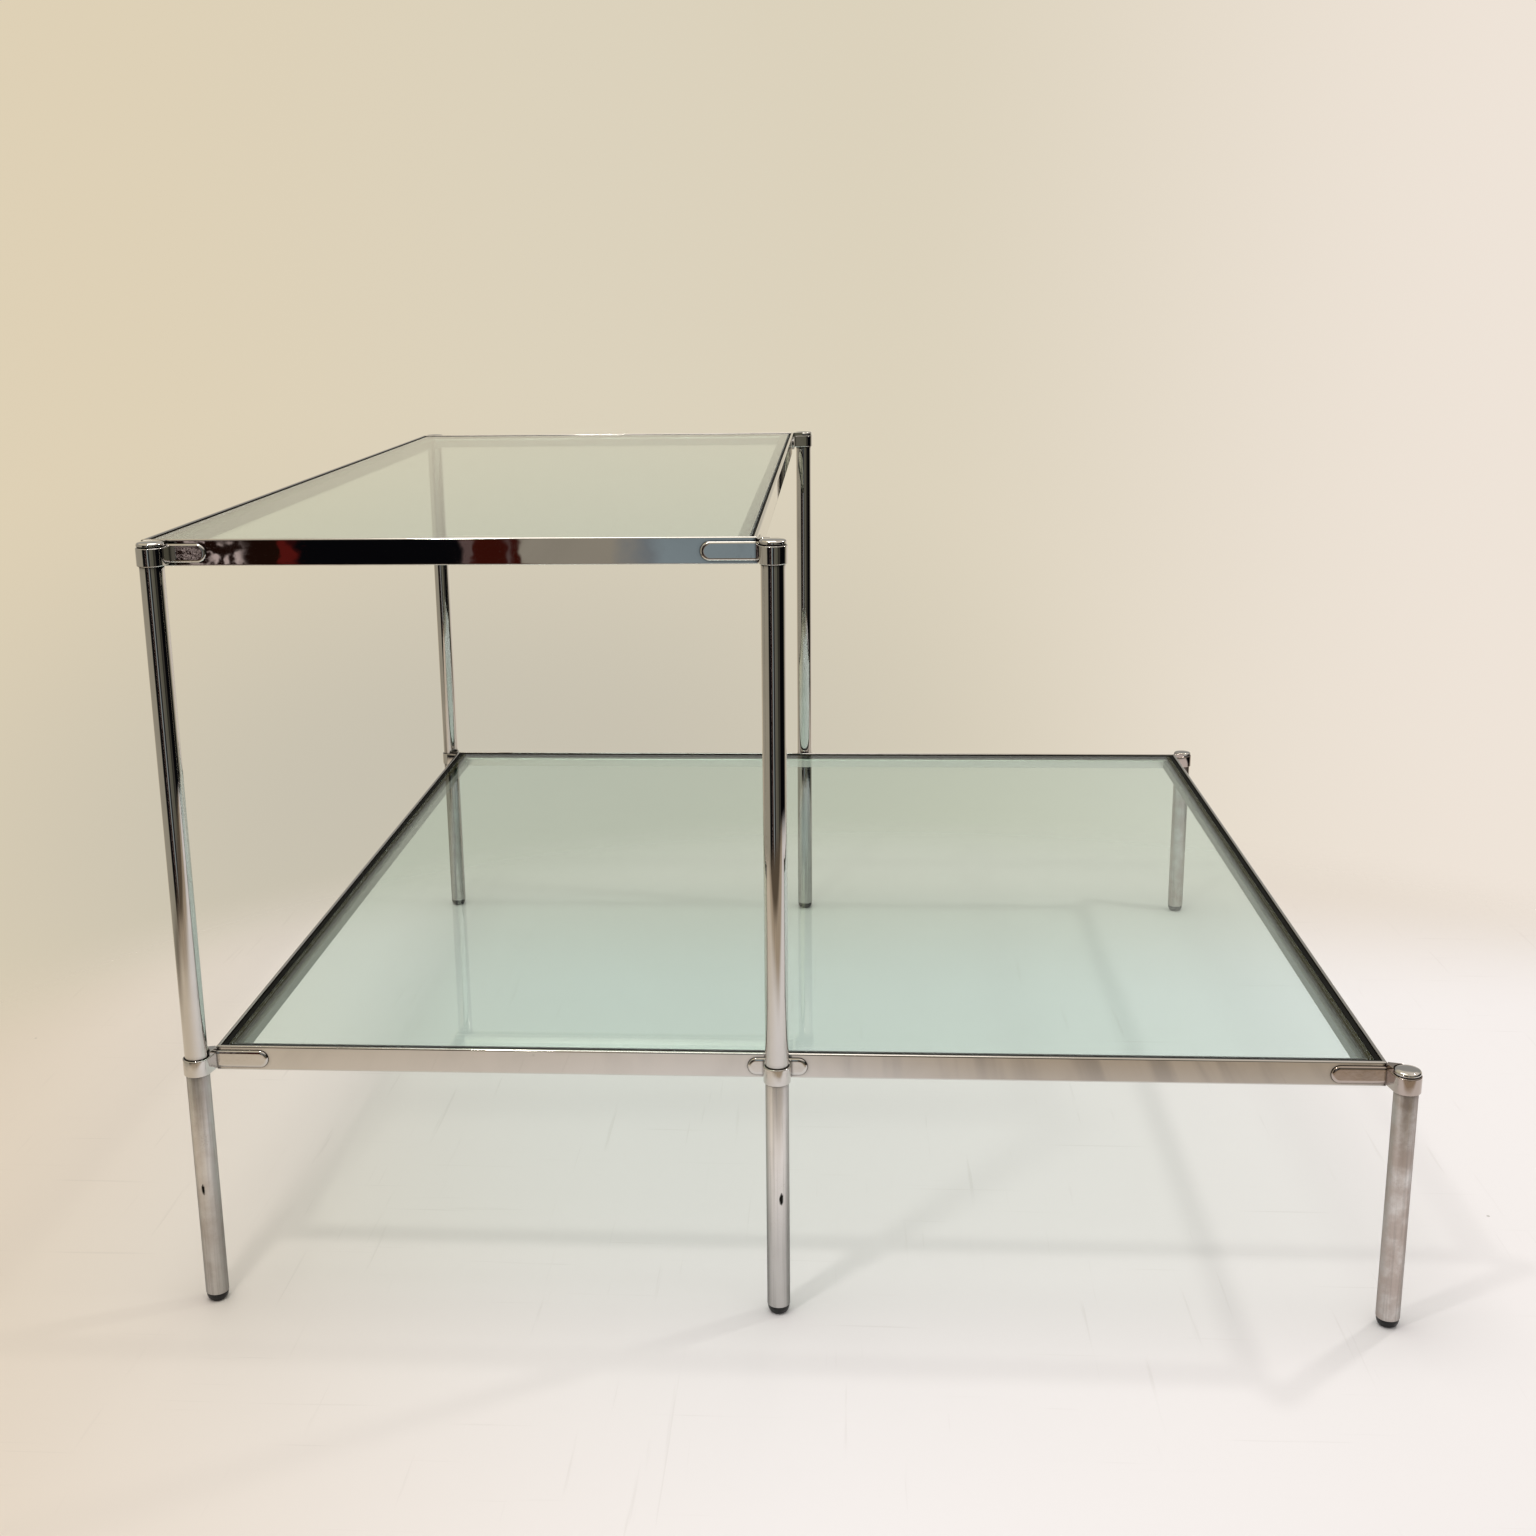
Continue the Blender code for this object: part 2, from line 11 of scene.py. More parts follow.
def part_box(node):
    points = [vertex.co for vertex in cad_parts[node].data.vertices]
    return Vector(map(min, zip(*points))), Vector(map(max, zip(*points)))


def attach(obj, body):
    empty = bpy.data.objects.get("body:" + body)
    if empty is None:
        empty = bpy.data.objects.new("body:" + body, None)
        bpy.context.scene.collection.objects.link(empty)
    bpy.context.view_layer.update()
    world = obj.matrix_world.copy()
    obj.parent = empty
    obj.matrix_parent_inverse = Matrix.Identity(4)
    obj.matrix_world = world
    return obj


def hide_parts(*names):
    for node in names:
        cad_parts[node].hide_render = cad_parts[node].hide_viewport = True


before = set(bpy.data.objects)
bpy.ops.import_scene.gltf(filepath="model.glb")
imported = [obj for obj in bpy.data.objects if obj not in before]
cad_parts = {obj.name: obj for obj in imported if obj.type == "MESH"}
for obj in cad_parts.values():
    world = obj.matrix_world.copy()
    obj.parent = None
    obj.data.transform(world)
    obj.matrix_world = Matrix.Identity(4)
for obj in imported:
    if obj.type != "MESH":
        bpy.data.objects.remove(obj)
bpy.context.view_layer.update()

bl_info = {
    "name": "Two-tier side table",
    "version": (1, 0, 0),
    "blender": (4, 5, 0),
    "location": "3D View > Sidebar > Side Table",
    "description": "Builds the fine pieces, finishes and studio of a glass and chrome side table",
    "category": "Object",
}

MM = 0.001
FRAME_BODY = "frame"
PANE_BODIES = {"pane_lower": "lower_pane", "pane_upper": "upper_pane"}
LEGS = [f"{row}_{side}" for row in ("front", "rear") for side in ("left", "middle", "right")]
POSTS = [f"{row}_{side}" for row in ("front", "rear") for side in ("left", "middle")]
TIERS = ("lower", "upper")
SIDES = ("front", "right", "rear", "left")
CORNERS = (("left", "front"), ("right", "front"), ("right", "rear"), ("left", "rear"))
EDGE_STEPS = 6
SUPPORT = 0.25 * MM
RIM_SUPPORT = 0.08 * MM
CREST_GAP = 0.5 * MM
SHARP_ANGLE = math.radians(22)

# Knocks in the legs: leg, degrees from the front, height and size
KNOCKS = (("leg_front_middle", 19, 112 * MM, 1.7 * MM), ("leg_front_left", -5, 111 * MM, 1.5 * MM))


def length(name, description, default_mm):
    """A length in metres, written in millimetres."""
    return FloatProperty(
        name=name, description=description, default=default_mm * MM, unit="LENGTH", precision=5
    )


def number(name, description, default, unit="NONE"):
    return FloatProperty(name=name, description=description, default=default, unit=unit, min=0.0)


def colour(name, description, default):
    return FloatVectorProperty(
        name=name, description=description, default=default, subtype="COLOR", size=3, min=0.0, max=1.0
    )


def position(name, description, default):
    return FloatVectorProperty(name=name, description=description, default=default, size=3, unit="LENGTH")


class TableSizes(bpy.types.PropertyGroup):
    """Sizes of the fine pieces that the CAD boxes don't give."""

    tube_wall: length("Tube wall", "Wall of the legs and posts", 1.5)
    tube_lip: length("Tube lip", "Rounding of the tube ends", 0.4)
    round_facets: IntProperty(
        name="Facets", description="Facets round a tube, cap or collar", default=80, min=24
    )
    seat_gap: length("Seat gap", "Gap between pieces that touch", 0.3)
    upstand: length("Upstand", "Thickness of the rail beside the glass", 3.2)
    ledge_depth: length("Ledge depth", "Depth of the ledge under the rail's top edge", 11.0)
    rail_low_edge: length("Rail lower edge", "Rounding of the rail's lower edges", 1.1)
    rail_top_edge: length("Rail top edge", "Rounding of the rail's top edge", 1.3)
    seal_lip: length("Seal lip", "Thickness of the seal under the glass", 1.4)
    seal_bearing: length("Seal bearing", "Width of the seal under the glass", 2.6)
    lower_seal: length("Lower seal width", "Seal between rail and glass, lower tier", 4.6)
    upper_seal: length("Upper seal width", "Seal between rail and glass, upper tier", 2.0)
    glass_corner: length("Glass corner", "Corner radius of the panes", 3.0)
    glass_arris: length("Glass arris", "Ground edge of the panes", 1.1)
    tongue: length("Tongue thickness", "Thickness of the connectors' tongues", 1.9)
    tongue_top: length("Tongue top", "Drop of the tongue under the rail's top edge", 3.6)
    tongue_bottom: length("Tongue bottom", "Drop of the tongue's lower side under the rail's top edge", 19.0)
    tongue_reach: length("Tongue reach", "Length of a tongue from the frame's corner", 46.0)
    end_reach: length("End tongue reach", "Length of the front tongue of the end connectors", 53.5)
    tab_length: length("Tab length", "Length of the middle connectors' tab", 51.0)
    collar_wall: length("Collar wall", "Wall of the collars", 1.45)
    collar_top: length("Collar top", "Drop of the collar under the rail's top edge", 4.4)
    collar_bottom: length("Collar bottom", "Drop of the collar's lower rim under the rail's top edge", 19.4)
    tongue_edge: length("Tongue edge", "Depth of the rounding of the tongues' faces", 1.6)
    collar_edge: length("Collar edge", "Rounding of the collars' rims", 0.8)
    bore_edge: length("Bore edge", "Rounding of the rims round the tubes", 0.3)
    corner_web: length("Corner web", "Reach of the web along the rails at a corner", 1.5)
    tab_web: length("Tab web", "Half width of the web behind a collar on a straight rail", 11.9)
    crest_spread: length("Crest spread", "Half width of the end connectors' crest", 9.0)
    cap_edge: length("Cap edge", "Rounding of the caps", 2.2)
    cap_rise: length("Cap rise", "Rise of the caps' domed tops", 0.7)
    glide_flat: length("Glide flat", "Radius of the flat under a glide", 5.5)


class TableFinishes(bpy.types.PropertyGroup):
    """Colours of the finishes."""

    chrome: colour("Chrome", "Polished chrome", (0.63, 0.615, 0.595))
    worn: colour("Worn chrome", "Hazed chrome of the legs", (0.93, 0.915, 0.90))
    steel: colour("Steel", "Unplated steel inside the tubes", (0.55, 0.55, 0.54))
    rubber: colour("Rubber", "Seals", (0.008, 0.008, 0.007))
    plastic: colour("Plastic", "Glides", (0.014, 0.014, 0.015))
    dust: colour("Dust", "Dust on rubber and plastic", (0.42, 0.40, 0.37))
    glass: colour("Glass", "Tint of the panes", (0.83, 0.98, 0.955))
    veil: colour("Veil", "Tint of the light that passes one side of a pane", (0.878, 0.905, 0.885))
    edge: colour("Glass edge", "Ground side of the panes against the seals", (0.040, 0.038, 0.018))
    stain: colour("Stain", "Marks and pits in the chrome", (0.10, 0.09, 0.08))
    knock: colour("Knock", "Deep knocks in the legs", (0.012, 0.011, 0.010))
    # Darkening: painted shade with grime in the creases, and the darker lower part of the front legs
    darkening: colour("Darkening", "Painted crease shade with grime, and the darker lower legs", (0.028, 0.024, 0.020))
    tarnish: colour("Tarnish", "Brown patches on the legs", (0.43, 0.355, 0.315))
    # Flange: dull plating with painted shade, for the rails' flanges under the glass
    flange: colour("Flange", "Dull plating and painted shade of the rails under the glass", (0.115, 0.119, 0.104))
    flange_sheen: colour("Flange sheen", "Rear flange where it catches the wall", (0.82, 0.80, 0.73))


class TableStage(bpy.types.PropertyGroup):
    """Camera, lights and surroundings."""

    lens: number("Lens", "Focal length for a 36 mm sensor", 41.831)
    shift: FloatVectorProperty(name="Shift", description="Camera shift", default=(0.02292, -0.03171), size=2)
    eye: position("Eye", "Camera position", (0.048675, -1.9108, 0.8779))
    turn: FloatVectorProperty(
        name="Turn",
        description="Camera rotation",
        default=tuple(math.radians(angle) for angle in (76.2134, 0.7512, 3.5456)),
        size=3,
        subtype="EULER",
    )
    floor_middle: position("Floor middle", "Centre of the round floor", (0.15, -0.45, 0.0))
    floor_reach: length("Floor reach", "Radius of the floor that is fully solid", 1100)
    floor_fade: length("Floor fade", "Width of the rim where the floor fades into the backdrop", 350)
    # Floor left and right: a painted shade across the floor, darker and warmer on the left
    floor_left: colour("Floor left", "Pale floor on the left, a little warm", (0.735, 0.64, 0.52))
    floor_right: colour("Floor right", "Pale floor on the right", (0.90, 0.875, 0.885))
    floor_rear: colour("Floor rear", "Shaded floor behind the table", (0.79, 0.725, 0.66))
    floor_front: colour("Floor front", "Bare boards in front of the picture", (0.50, 0.41, 0.31))
    floor_far: colour("Floor far", "Dark boards further off", (0.12, 0.09, 0.06))
    floor_mark: colour("Floor marks", "Scuffs and specks on the floor", (0.36, 0.32, 0.28))
    # Backdrop left to right: a painted shade, darker and warmer on the left
    wall_left: colour("Wall left", "Cream of the backdrop on the left", (0.735, 0.635, 0.465))
    wall_middle: colour("Wall middle", "Cream of the backdrop in the middle", (0.715, 0.645, 0.505))
    wall_right: colour("Wall right", "Cream of the backdrop on the right", (0.86, 0.775, 0.69))
    wall_dim: colour("Wall shade", "Shaded part of the backdrop behind the shelf", (0.55, 0.515, 0.425))
    ceiling: colour("Ceiling", "Dim upper wall that only reflections show", (0.36, 0.35, 0.325))
    room_floor: colour("Room floor", "Boards of the room that only reflections show", (0.14, 0.105, 0.07))
    fill: colour("Fill", "Colour of the light from all sides", (1.0, 0.97, 0.93))
    fill_low: number("Side fill", "Strength of the light from the sides", 0.25)
    fill_high: number("Top fill", "Strength of the light from above", 0.86)
    lamp: colour("Lamp colour", "Colour of the softbox and lamps", (1.0, 0.965, 0.92))
    soft_place: position("Softbox place", "Place of the overhead softbox", (-0.25, -0.1, 2.8))
    soft_size: number("Softbox size", "Side of the overhead softbox", 1.3, "LENGTH")
    soft_power: number("Softbox", "Power of the overhead softbox", 21.0, "POWER")
    front_place: position("Front lamp", "Place of the lamp in front", (-0.58, -1.22, 1.95))
    right_place: position("Right lamp", "Place of the lamp on the right", (1.32, 0.27, 1.9))
    lamp_size: number("Lamp size", "Side of each lamp", 0.13, "LENGTH")
    lamp_power: number("Lamps", "Power of each lamp", 5.5, "POWER")


# Meshes


def rounded(corners, support=0.0, steps=EDGE_STEPS):
    """An outline through (x, y, radius) corners, each rounded by an arc, with a point past each end of it."""
    outline = []
    count = len(corners)
    for i, (x, y, radius) in enumerate(corners):
        here = Vector((x, y))
        if radius == 0:
            outline.append((x, y))
            continue
        back = (Vector(corners[i - 1][:2]) - here).normalized()
        ahead = (Vector(corners[(i + 1) % count][:2]) - here).normalized()
        half = back.angle(ahead) / 2
        reach = radius / math.tan(half)
        centre = here + (back + ahead).normalized() * (radius / math.sin(half))
        start = here + back * reach - centre
        sweep = -start.angle_signed(here + ahead * reach - centre)
        if support:
            outline.append(tuple(here + back * (reach + support)))
        for k in range(steps + 1):
            angle = math.atan2(start.y, start.x) + sweep * k / steps
            outline.append((centre.x + radius * math.cos(angle), centre.y + radius * math.sin(angle)))
        if support:
            outline.append(tuple(here + ahead * (reach + support)))
    return outline


def inset(outline, distance):
    """Moves each side of an anticlockwise outline inwards by a distance."""
    if not distance:
        return outline
    moved = []
    count = len(outline)
    for i in range(count):
        here = Vector(outline[i])
        first = (here - Vector(outline[i - 1])).normalized()
        second = (Vector(outline[(i + 1) % count]) - here).normalized()
        first_in = Vector((-first.y, first.x))
        second_in = Vector((-second.y, second.x))
        moved.append(tuple(here + (first_in + second_in) * (distance / (1 + first_in.dot(second_in)))))
    return moved


def insets(outline, rows):
    """Outlines and their levels, from (inset, level) rows."""
    return [(inset(outline, gap), level) for gap, level in rows]


def arc(centre, radius, start, end, steps):
    """Points on an arc between two angles in degrees, both ends included."""
    points = []
    for i in range(steps + 1):
        angle = math.radians(start + (end - start) * i / steps)
        points.append((centre[0] + radius * math.cos(angle), centre[1] + radius * math.sin(angle)))
    return points


def edge_rows(radius, support=SUPPORT):
    """(inset, drop) pairs of a rounded rim, from the flat face over the edge to the side."""
    rows = [(radius + support, 0.0)]
    for k in range(EDGE_STEPS + 1):
        angle = math.radians(90 * k / EDGE_STEPS)
        rows.append((radius * (1 - math.sin(angle)), radius * (1 - math.cos(angle))))
    return rows


def add_ring(bm, points):
    verts = [bm.verts.new(point) for point in points]
    edges = [bm.edges.new((vert, verts[(i + 1) % len(verts)])) for i, vert in enumerate(verts)]
    return verts, edges


def join_rings(bm, first, second):
    count = len(first)
    for i in range(count):
        j = (i + 1) % count
        bm.faces.new((first[i], first[j], second[j], second[i]))


def level_point(x, y, level):
    return (x, y, level)


def skin(bm, outlines, point=level_point):
    """Joins outlines, each with its level, by a skin. Returns the verts and edges of each ring."""
    rings = [add_ring(bm, [point(x, y, level) for x, y in outline]) for outline, level in outlines]
    for first, second in zip(rings, rings[1:]):
        join_rings(bm, first[0], second[0])
    return rings


def smooth(mesh):
    mesh.shade_smooth()
    mesh.set_sharp_from_angle(angle=SHARP_ANGLE)
    return mesh


def to_mesh(bm, name):
    """Closes a bmesh into a mesh whose faces point out and whose soft edges are smooth."""
    bmesh.ops.remove_doubles(bm, verts=bm.verts[:], dist=MM / 1000)
    bmesh.ops.recalc_face_normals(bm, faces=bm.faces[:])
    mesh = bpy.data.meshes.new(name)
    bm.to_mesh(mesh)
    bm.free()
    return smooth(mesh)


def capped_mesh(name, outlines):
    """A solid through outlines, with a flat face at each end."""
    bm = bmesh.new()
    rings = skin(bm, outlines)
    for verts, _ in (rings[0], rings[-1]):
        bm.faces.new(verts)
    return to_mesh(bm, name)


def turned_mesh(name, profile, facets):
    """A turned solid from (radius, height) points that start and end on the axis."""
    bm = bmesh.new()
    skin(bm, [(arc((0, 0), radius, 0, 360, facets)[:-1], height) for radius, height in profile])
    return to_mesh(bm, name)


def mitred_mesh(name, half_length, section, recess):
    """A bar along X whose section runs inwards along Y, with both ends cut at 45 degrees."""
    bm = bmesh.new()
    rings = []
    for end in (-1, 1):
        verts, edges = add_ring(bm, [(end * (half_length - recess - u), u, z) for u, z in section])
        bmesh.ops.triangle_fill(bm, use_beauty=True, edges=edges)
        rings.append(verts)
    join_rings(bm, *rings)
    return to_mesh(bm, name)


# Objects and CAD boxes


def new_object(name, data):
    obj = bpy.data.objects.new(name, data)
    bpy.context.scene.collection.objects.link(obj)
    return obj


def plain_mesh(obj):
    """The evaluated mesh of an object, as a plain mesh of its own."""
    bpy.context.view_layer.update()
    graph = bpy.context.evaluated_depsgraph_get()
    return bpy.data.meshes.new_from_object(obj.evaluated_get(graph))


def discard(obj):
    bpy.data.objects.remove(obj, do_unlink=True)


def dress(node, mesh, slot, body=FRAME_BODY):
    """Adds a finished piece in place of a CAD node."""
    mesh.name = f"fine_{node}"
    mesh.materials.clear()
    mesh.materials.append(finish(slot))
    piece = new_object(f"fine_{node}", mesh)
    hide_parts(node)
    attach(piece, body)


def middle_of(node):
    low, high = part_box(node)
    return (low + high) / 2


def radius_of(node):
    low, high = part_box(node)
    return (high.x - low.x) / 2


def foot_of(node):
    """The middle of a node's underside."""
    centre = middle_of(node)
    return (centre.x, centre.y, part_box(node)[0].z)


def tier_frame(tier):
    """Sides, levels, middle, span and rail width of a tier's rails, from the CAD boxes."""
    boxes = {side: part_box(f"rail_{tier}_{side}") for side in SIDES}
    left, right = boxes["left"][0].x, boxes["right"][1].x
    front, rear = boxes["front"][0].y, boxes["rear"][1].y
    return {
        "left": left,
        "right": right,
        "front": front,
        "rear": rear,
        "top": boxes["front"][1].z,
        "bottom": boxes["front"][0].z,
        "width": boxes["front"][1].y - front,
        "middle": ((left + right) / 2, (front + rear) / 2),
        "span": (right - left, rear - front),
    }


# Nodes of any tree


def feed(tree, node, inputs):
    """Links a node's inputs, or sets their plain values."""
    for key, value in inputs.items():
        if isinstance(value, bpy.types.NodeSocket):
            tree.links.new(value, node.inputs[key])
        else:
            node.inputs[key].default_value = value


def add_node(tree, kind, inputs=None, **settings):
    """Adds a node with its settings and inputs."""
    node = tree.nodes.new(kind)
    for key, value in settings.items():
        setattr(node, key, value)
    feed(tree, node, inputs or {})
    return node


def next_node(kind, inputs, **settings):
    """Adds a node in the tree of the sockets that are linked to it."""
    tree = next(value.id_data for value in inputs.values() if isinstance(value, bpy.types.NodeSocket))
    return add_node(tree, kind, inputs, **settings)


def maths(operation, *values):
    return next_node("ShaderNodeMath", dict(enumerate(values)), operation=operation).outputs[0]


def begin_tree(kind, name, inputs, outputs):
    """A node tree with inputs, each a kind and a default, and outputs. Returns its input sockets too."""
    tree = bpy.data.node_groups.new(name, kind)
    for label, (socket_type, default) in inputs.items():
        socket = tree.interface.new_socket(name=label, in_out="INPUT", socket_type=socket_type)
        if default is not None:
            socket.default_value = default
    for label, socket_type in outputs.items():
        tree.interface.new_socket(name=label, in_out="OUTPUT", socket_type=socket_type)
    return tree, tree.nodes.new("NodeGroupInput").outputs


def end_tree(tree, results):
    feed(tree, tree.nodes.new("NodeGroupOutput"), results)
    return tree


# Geometry node trees


def begin_copies(name, inputs):
    """A tree that puts copies on points, with its own inputs beside the points and the material."""
    whole = {"Points": ("NodeSocketGeometry", None), **inputs, "Material": ("NodeSocketMaterial", None)}
    return begin_tree("GeometryNodeTree", name, whole, {"Geometry": "NodeSocketGeometry"})


def end_copies(tree, start, piece, **settings):
    """Copies a piece onto the points, realizes the copies and sets their material."""
    inputs = {"Points": start["Points"], "Instance": piece, **settings}
    copies = next_node("GeometryNodeInstanceOnPoints", inputs).outputs["Instances"]
    solid = next_node("GeometryNodeRealizeInstances", {"Geometry": copies}).outputs["Geometry"]
    paint = {"Geometry": solid, "Material": start["Material"]}
    return end_tree(tree, {"Geometry": next_node("GeometryNodeSetMaterial", paint).outputs["Geometry"]})


def tube_tree():
    """Tubes with rounded ends that stand on points."""
    lengths = dict.fromkeys(("Outer Radius", "Wall", "Length", "Lip"), ("NodeSocketFloat", MM))
    tree, start = begin_copies("tube_on_points", {**lengths, "Facets": ("NodeSocketInt", 64)})
    half_wall = maths("MULTIPLY", start["Wall"], 0.5)
    half_length = maths("MULTIPLY", start["Length"], 0.5)
    middle = maths("SUBTRACT", start["Outer Radius"], half_wall)
    inputs = {"Resolution": start["Facets"], "Radius": middle}
    circle = next_node("GeometryNodeCurvePrimitiveCircle", inputs).outputs["Curve"]
    inputs = {"Width": start["Wall"], "Height": start["Length"]}
    section = next_node("GeometryNodeCurvePrimitiveQuadrilateral", inputs).outputs["Curve"]
    inputs = {"Curve": section, "Radius": start["Lip"], "Count": 3}
    lips = next_node("GeometryNodeFilletCurve", inputs, mode="POLY").outputs["Curve"]
    inputs = {"Curve": circle, "Profile Curve": lips}
    tube = next_node("GeometryNodeCurveToMesh", inputs).outputs["Mesh"]
    rise = next_node("ShaderNodeCombineXYZ", {"Z": half_length}).outputs["Vector"]
    inputs = {"Geometry": tube, "Translation": rise}
    return end_copies(tree, start, next_node("GeometryNodeTransform", inputs).outputs["Geometry"])


def pattern_tree():
    """Copies of a pattern piece, turned about the vertical, that stand on points."""
    inputs = {"Pattern": ("NodeSocketObject", None), "Turn": ("NodeSocketFloat", 0.0)}
    tree, start = begin_copies("pattern_on_points", inputs)
    pattern = next_node("GeometryNodeObjectInfo", {"Object": start["Pattern"]}).outputs["Geometry"]
    angles = next_node("ShaderNodeCombineXYZ", {"Z": start["Turn"]}).outputs["Vector"]
    return end_copies(tree, start, pattern, Rotation=angles)


def grown(tree, point, values):
    """Runs a tree on one point and returns the plain mesh."""
    seed = bpy.data.meshes.new("seed")
    seed.from_pydata([point], [], [])
    holder = new_object("holder", seed)
    modifier = holder.modifiers.new("grow", "NODES")
    modifier.node_group = tree
    for item in tree.interface.items_tree:
        if item.in_out == "INPUT" and item.name in values:
            modifier[item.identifier] = values[item.name]
    mesh = plain_mesh(holder)
    holder.modifiers.remove(modifier)
    discard(holder)
    return smooth(mesh)


def put_copy(tree, node, pattern, point, turn, slot):
    """Puts a turned copy of a pattern in place of a node."""
    values = {"Pattern": pattern, "Turn": turn, "Material": finish(slot)}
    dress(node, grown(tree, point, values), slot)


# Shader values and colours


def times(first, *others):
    for other in others:
        first = maths("MULTIPLY", first, other)
    return first


def linear(value, factor, base):
    """A factor times a value, plus a base."""
    return maths("MULTIPLY_ADD", value, factor, base)


def inverse(value):
    return maths("SUBTRACT", 1.0, value)


def distance(value, centre):
    return maths("ABSOLUTE", maths("SUBTRACT", value, centre))


def ramp(value, low, high):
    """A smooth step up of a value between two limits."""
    inputs = {"Value": value, "From Min": low, "From Max": high}
    return next_node("ShaderNodeMapRange", inputs, interpolation_type="SMOOTHSTEP").outputs["Result"]


def fall(value, low, high):
    """A smooth step down of a value between two limits."""
    return inverse(ramp(value, low, high))


def strip(start, end):
    """A band between two smooth steps, each a value and its limits."""
    return maths("SUBTRACT", ramp(*start), ramp(*end))


def between(amount, low, high):
    """A value that goes from low to high as an amount goes from 0 to 1."""
    inputs = {"Value": amount, "To Min": low, "To Max": high}
    return next_node("ShaderNodeMapRange", inputs).outputs["Result"]


def scaled(tone, factor):
    return tuple(factor * channel for channel in tone)


def opaque(tone):
    """A colour for a socket, from a plain colour or another socket."""
    return tone if isinstance(tone, bpy.types.NodeSocket) else (*tone, 1.0)


def mixed(amount, first, second):
    """A blend of two colours, each a plain colour or a socket."""
    inputs = {0: amount, 6: opaque(first), 7: opaque(second)}
    return next_node("ShaderNodeMix", inputs, data_type="RGBA").outputs[2]


def layered(tone, *coats):
    """A colour under coats, each an amount and a colour."""
    for amount, coat in coats:
        tone = mixed(amount, tone, coat)
    return tone


def object_place(tree):
    return add_node(tree, "ShaderNodeTexCoord").outputs["Object"]


def axes_of(vector):
    return next_node("ShaderNodeSeparateXYZ", {0: vector}).outputs


def titled(values):
    """Node inputs from keyword values, by the titles of their sockets."""
    return {key.title(): value for key, value in values.items()}


def mapped(vector, **changes):
    """A vector moved, turned or stretched."""
    return next_node("ShaderNodeMapping", {"Vector": vector, **titled(changes)}).outputs["Vector"]


def about(vector, centre, scale=(1.0, 1.0, 1.0)):
    """A vector measured from a centre, with its axes scaled."""
    shift = tuple(-value * factor for value, factor in zip(centre, scale))
    return mapped(vector, location=shift, scale=scale)


def size_of(vector):
    return next_node("ShaderNodeVectorMath", {0: vector}, operation="LENGTH").outputs["Value"]


def noise(vector, scale, detail, **more):
    inputs = {"Vector": vector, "Scale": scale, "Detail": detail, **titled(more)}
    return next_node("ShaderNodeTexNoise", inputs).outputs["Fac"]


def bump(height, depth, strength=1.0, **normal):
    inputs = {"Height": height, "Distance": depth, "Strength": strength, **titled(normal)}
    return next_node("ShaderNodeBump", inputs).outputs["Normal"]


def blended(amount, first, second):
    """A blend of two shader nodes."""
    inputs = {0: amount, 1: first.outputs[0], 2: second.outputs[0]}
    return next_node("ShaderNodeMixShader", inputs)


def set_surface(tree, surface):
    feed(tree, tree.nodes["Material Output"], {"Surface": surface.outputs[0]})


def new_material(name, maker, settings):
    """A material with the shader inputs that a maker returns."""
    material = bpy.data.materials.new(name)
    material.use_nodes = True
    tree = material.node_tree
    feed(tree, tree.nodes["Principled BSDF"], maker(tree, settings))
    return material


# Shader node groups shared by several finishes


def begin_group(name, inputs, outputs):
    """A shader group with number inputs and outputs, and its input sockets."""
    sockets = {label: ("NodeSocketFloat", default) for label, default in inputs.items()}
    return begin_tree("ShaderNodeTree", name, sockets, dict.fromkeys(outputs, "NodeSocketFloat"))


def rub_marks():
    """Fine scratches in two directions, and soft smears, from Object coordinates."""
    group, start = begin_group("rub_marks", {"Fineness": 60.0, "Amount": 0.3}, ("Scratches", "Smears"))
    place = object_place(group)
    lines = []
    for turn, stretch in (((0.2, 0.5, 0.3), (1.0, 34.0, 20.0)), ((0.9, 0.1, 1.1), (26.0, 1.0, 30.0))):
        drawn = mapped(place, rotation=turn, scale=stretch)
        lines.append(ramp(noise(drawn, start["Fineness"], 3.0), 0.66, 0.76))
    scratches = times(maths("MAXIMUM", *lines), start["Amount"])
    smears = ramp(noise(place, 14.0, 4.0, distortion=0.8), 0.42, 0.72)
    return end_tree(group, {"Scratches": scratches, "Smears": smears})


def pitting():
    """Small pits, thicker in patches, and a haze that follows the patches."""
    group, start = begin_group("pitting", {"Fineness": 900.0, "Cover": 0.2}, ("Pits", "Haze"))
    place = object_place(group)
    cells = next_node("ShaderNodeTexVoronoi", {"Vector": place, "Scale": start["Fineness"]})
    patches = noise(place, 45.0, 5.0, roughness=0.65)
    reach = times(ramp(patches, 0.35, 0.75), start["Cover"])
    near = maths("SUBTRACT", reach, cells.outputs["Distance"])
    return end_tree(group, {"Pits": ramp(near, -0.06, 0.06), "Haze": patches})


def thin_dust():
    """Thin dust with grains, for glass, rubber and plastic."""
    group, start = begin_group("thin_dust", {"Grain": 700.0, "Amount": 0.3}, ("Dust",))
    place = object_place(group)
    grains = ramp(noise(place, start["Grain"], 2.0), 0.5, 0.8)
    clouds = ramp(noise(place, 9.0, 5.0), 0.35, 0.7)
    return end_tree(group, {"Dust": times(grains, clouds, start["Amount"])})


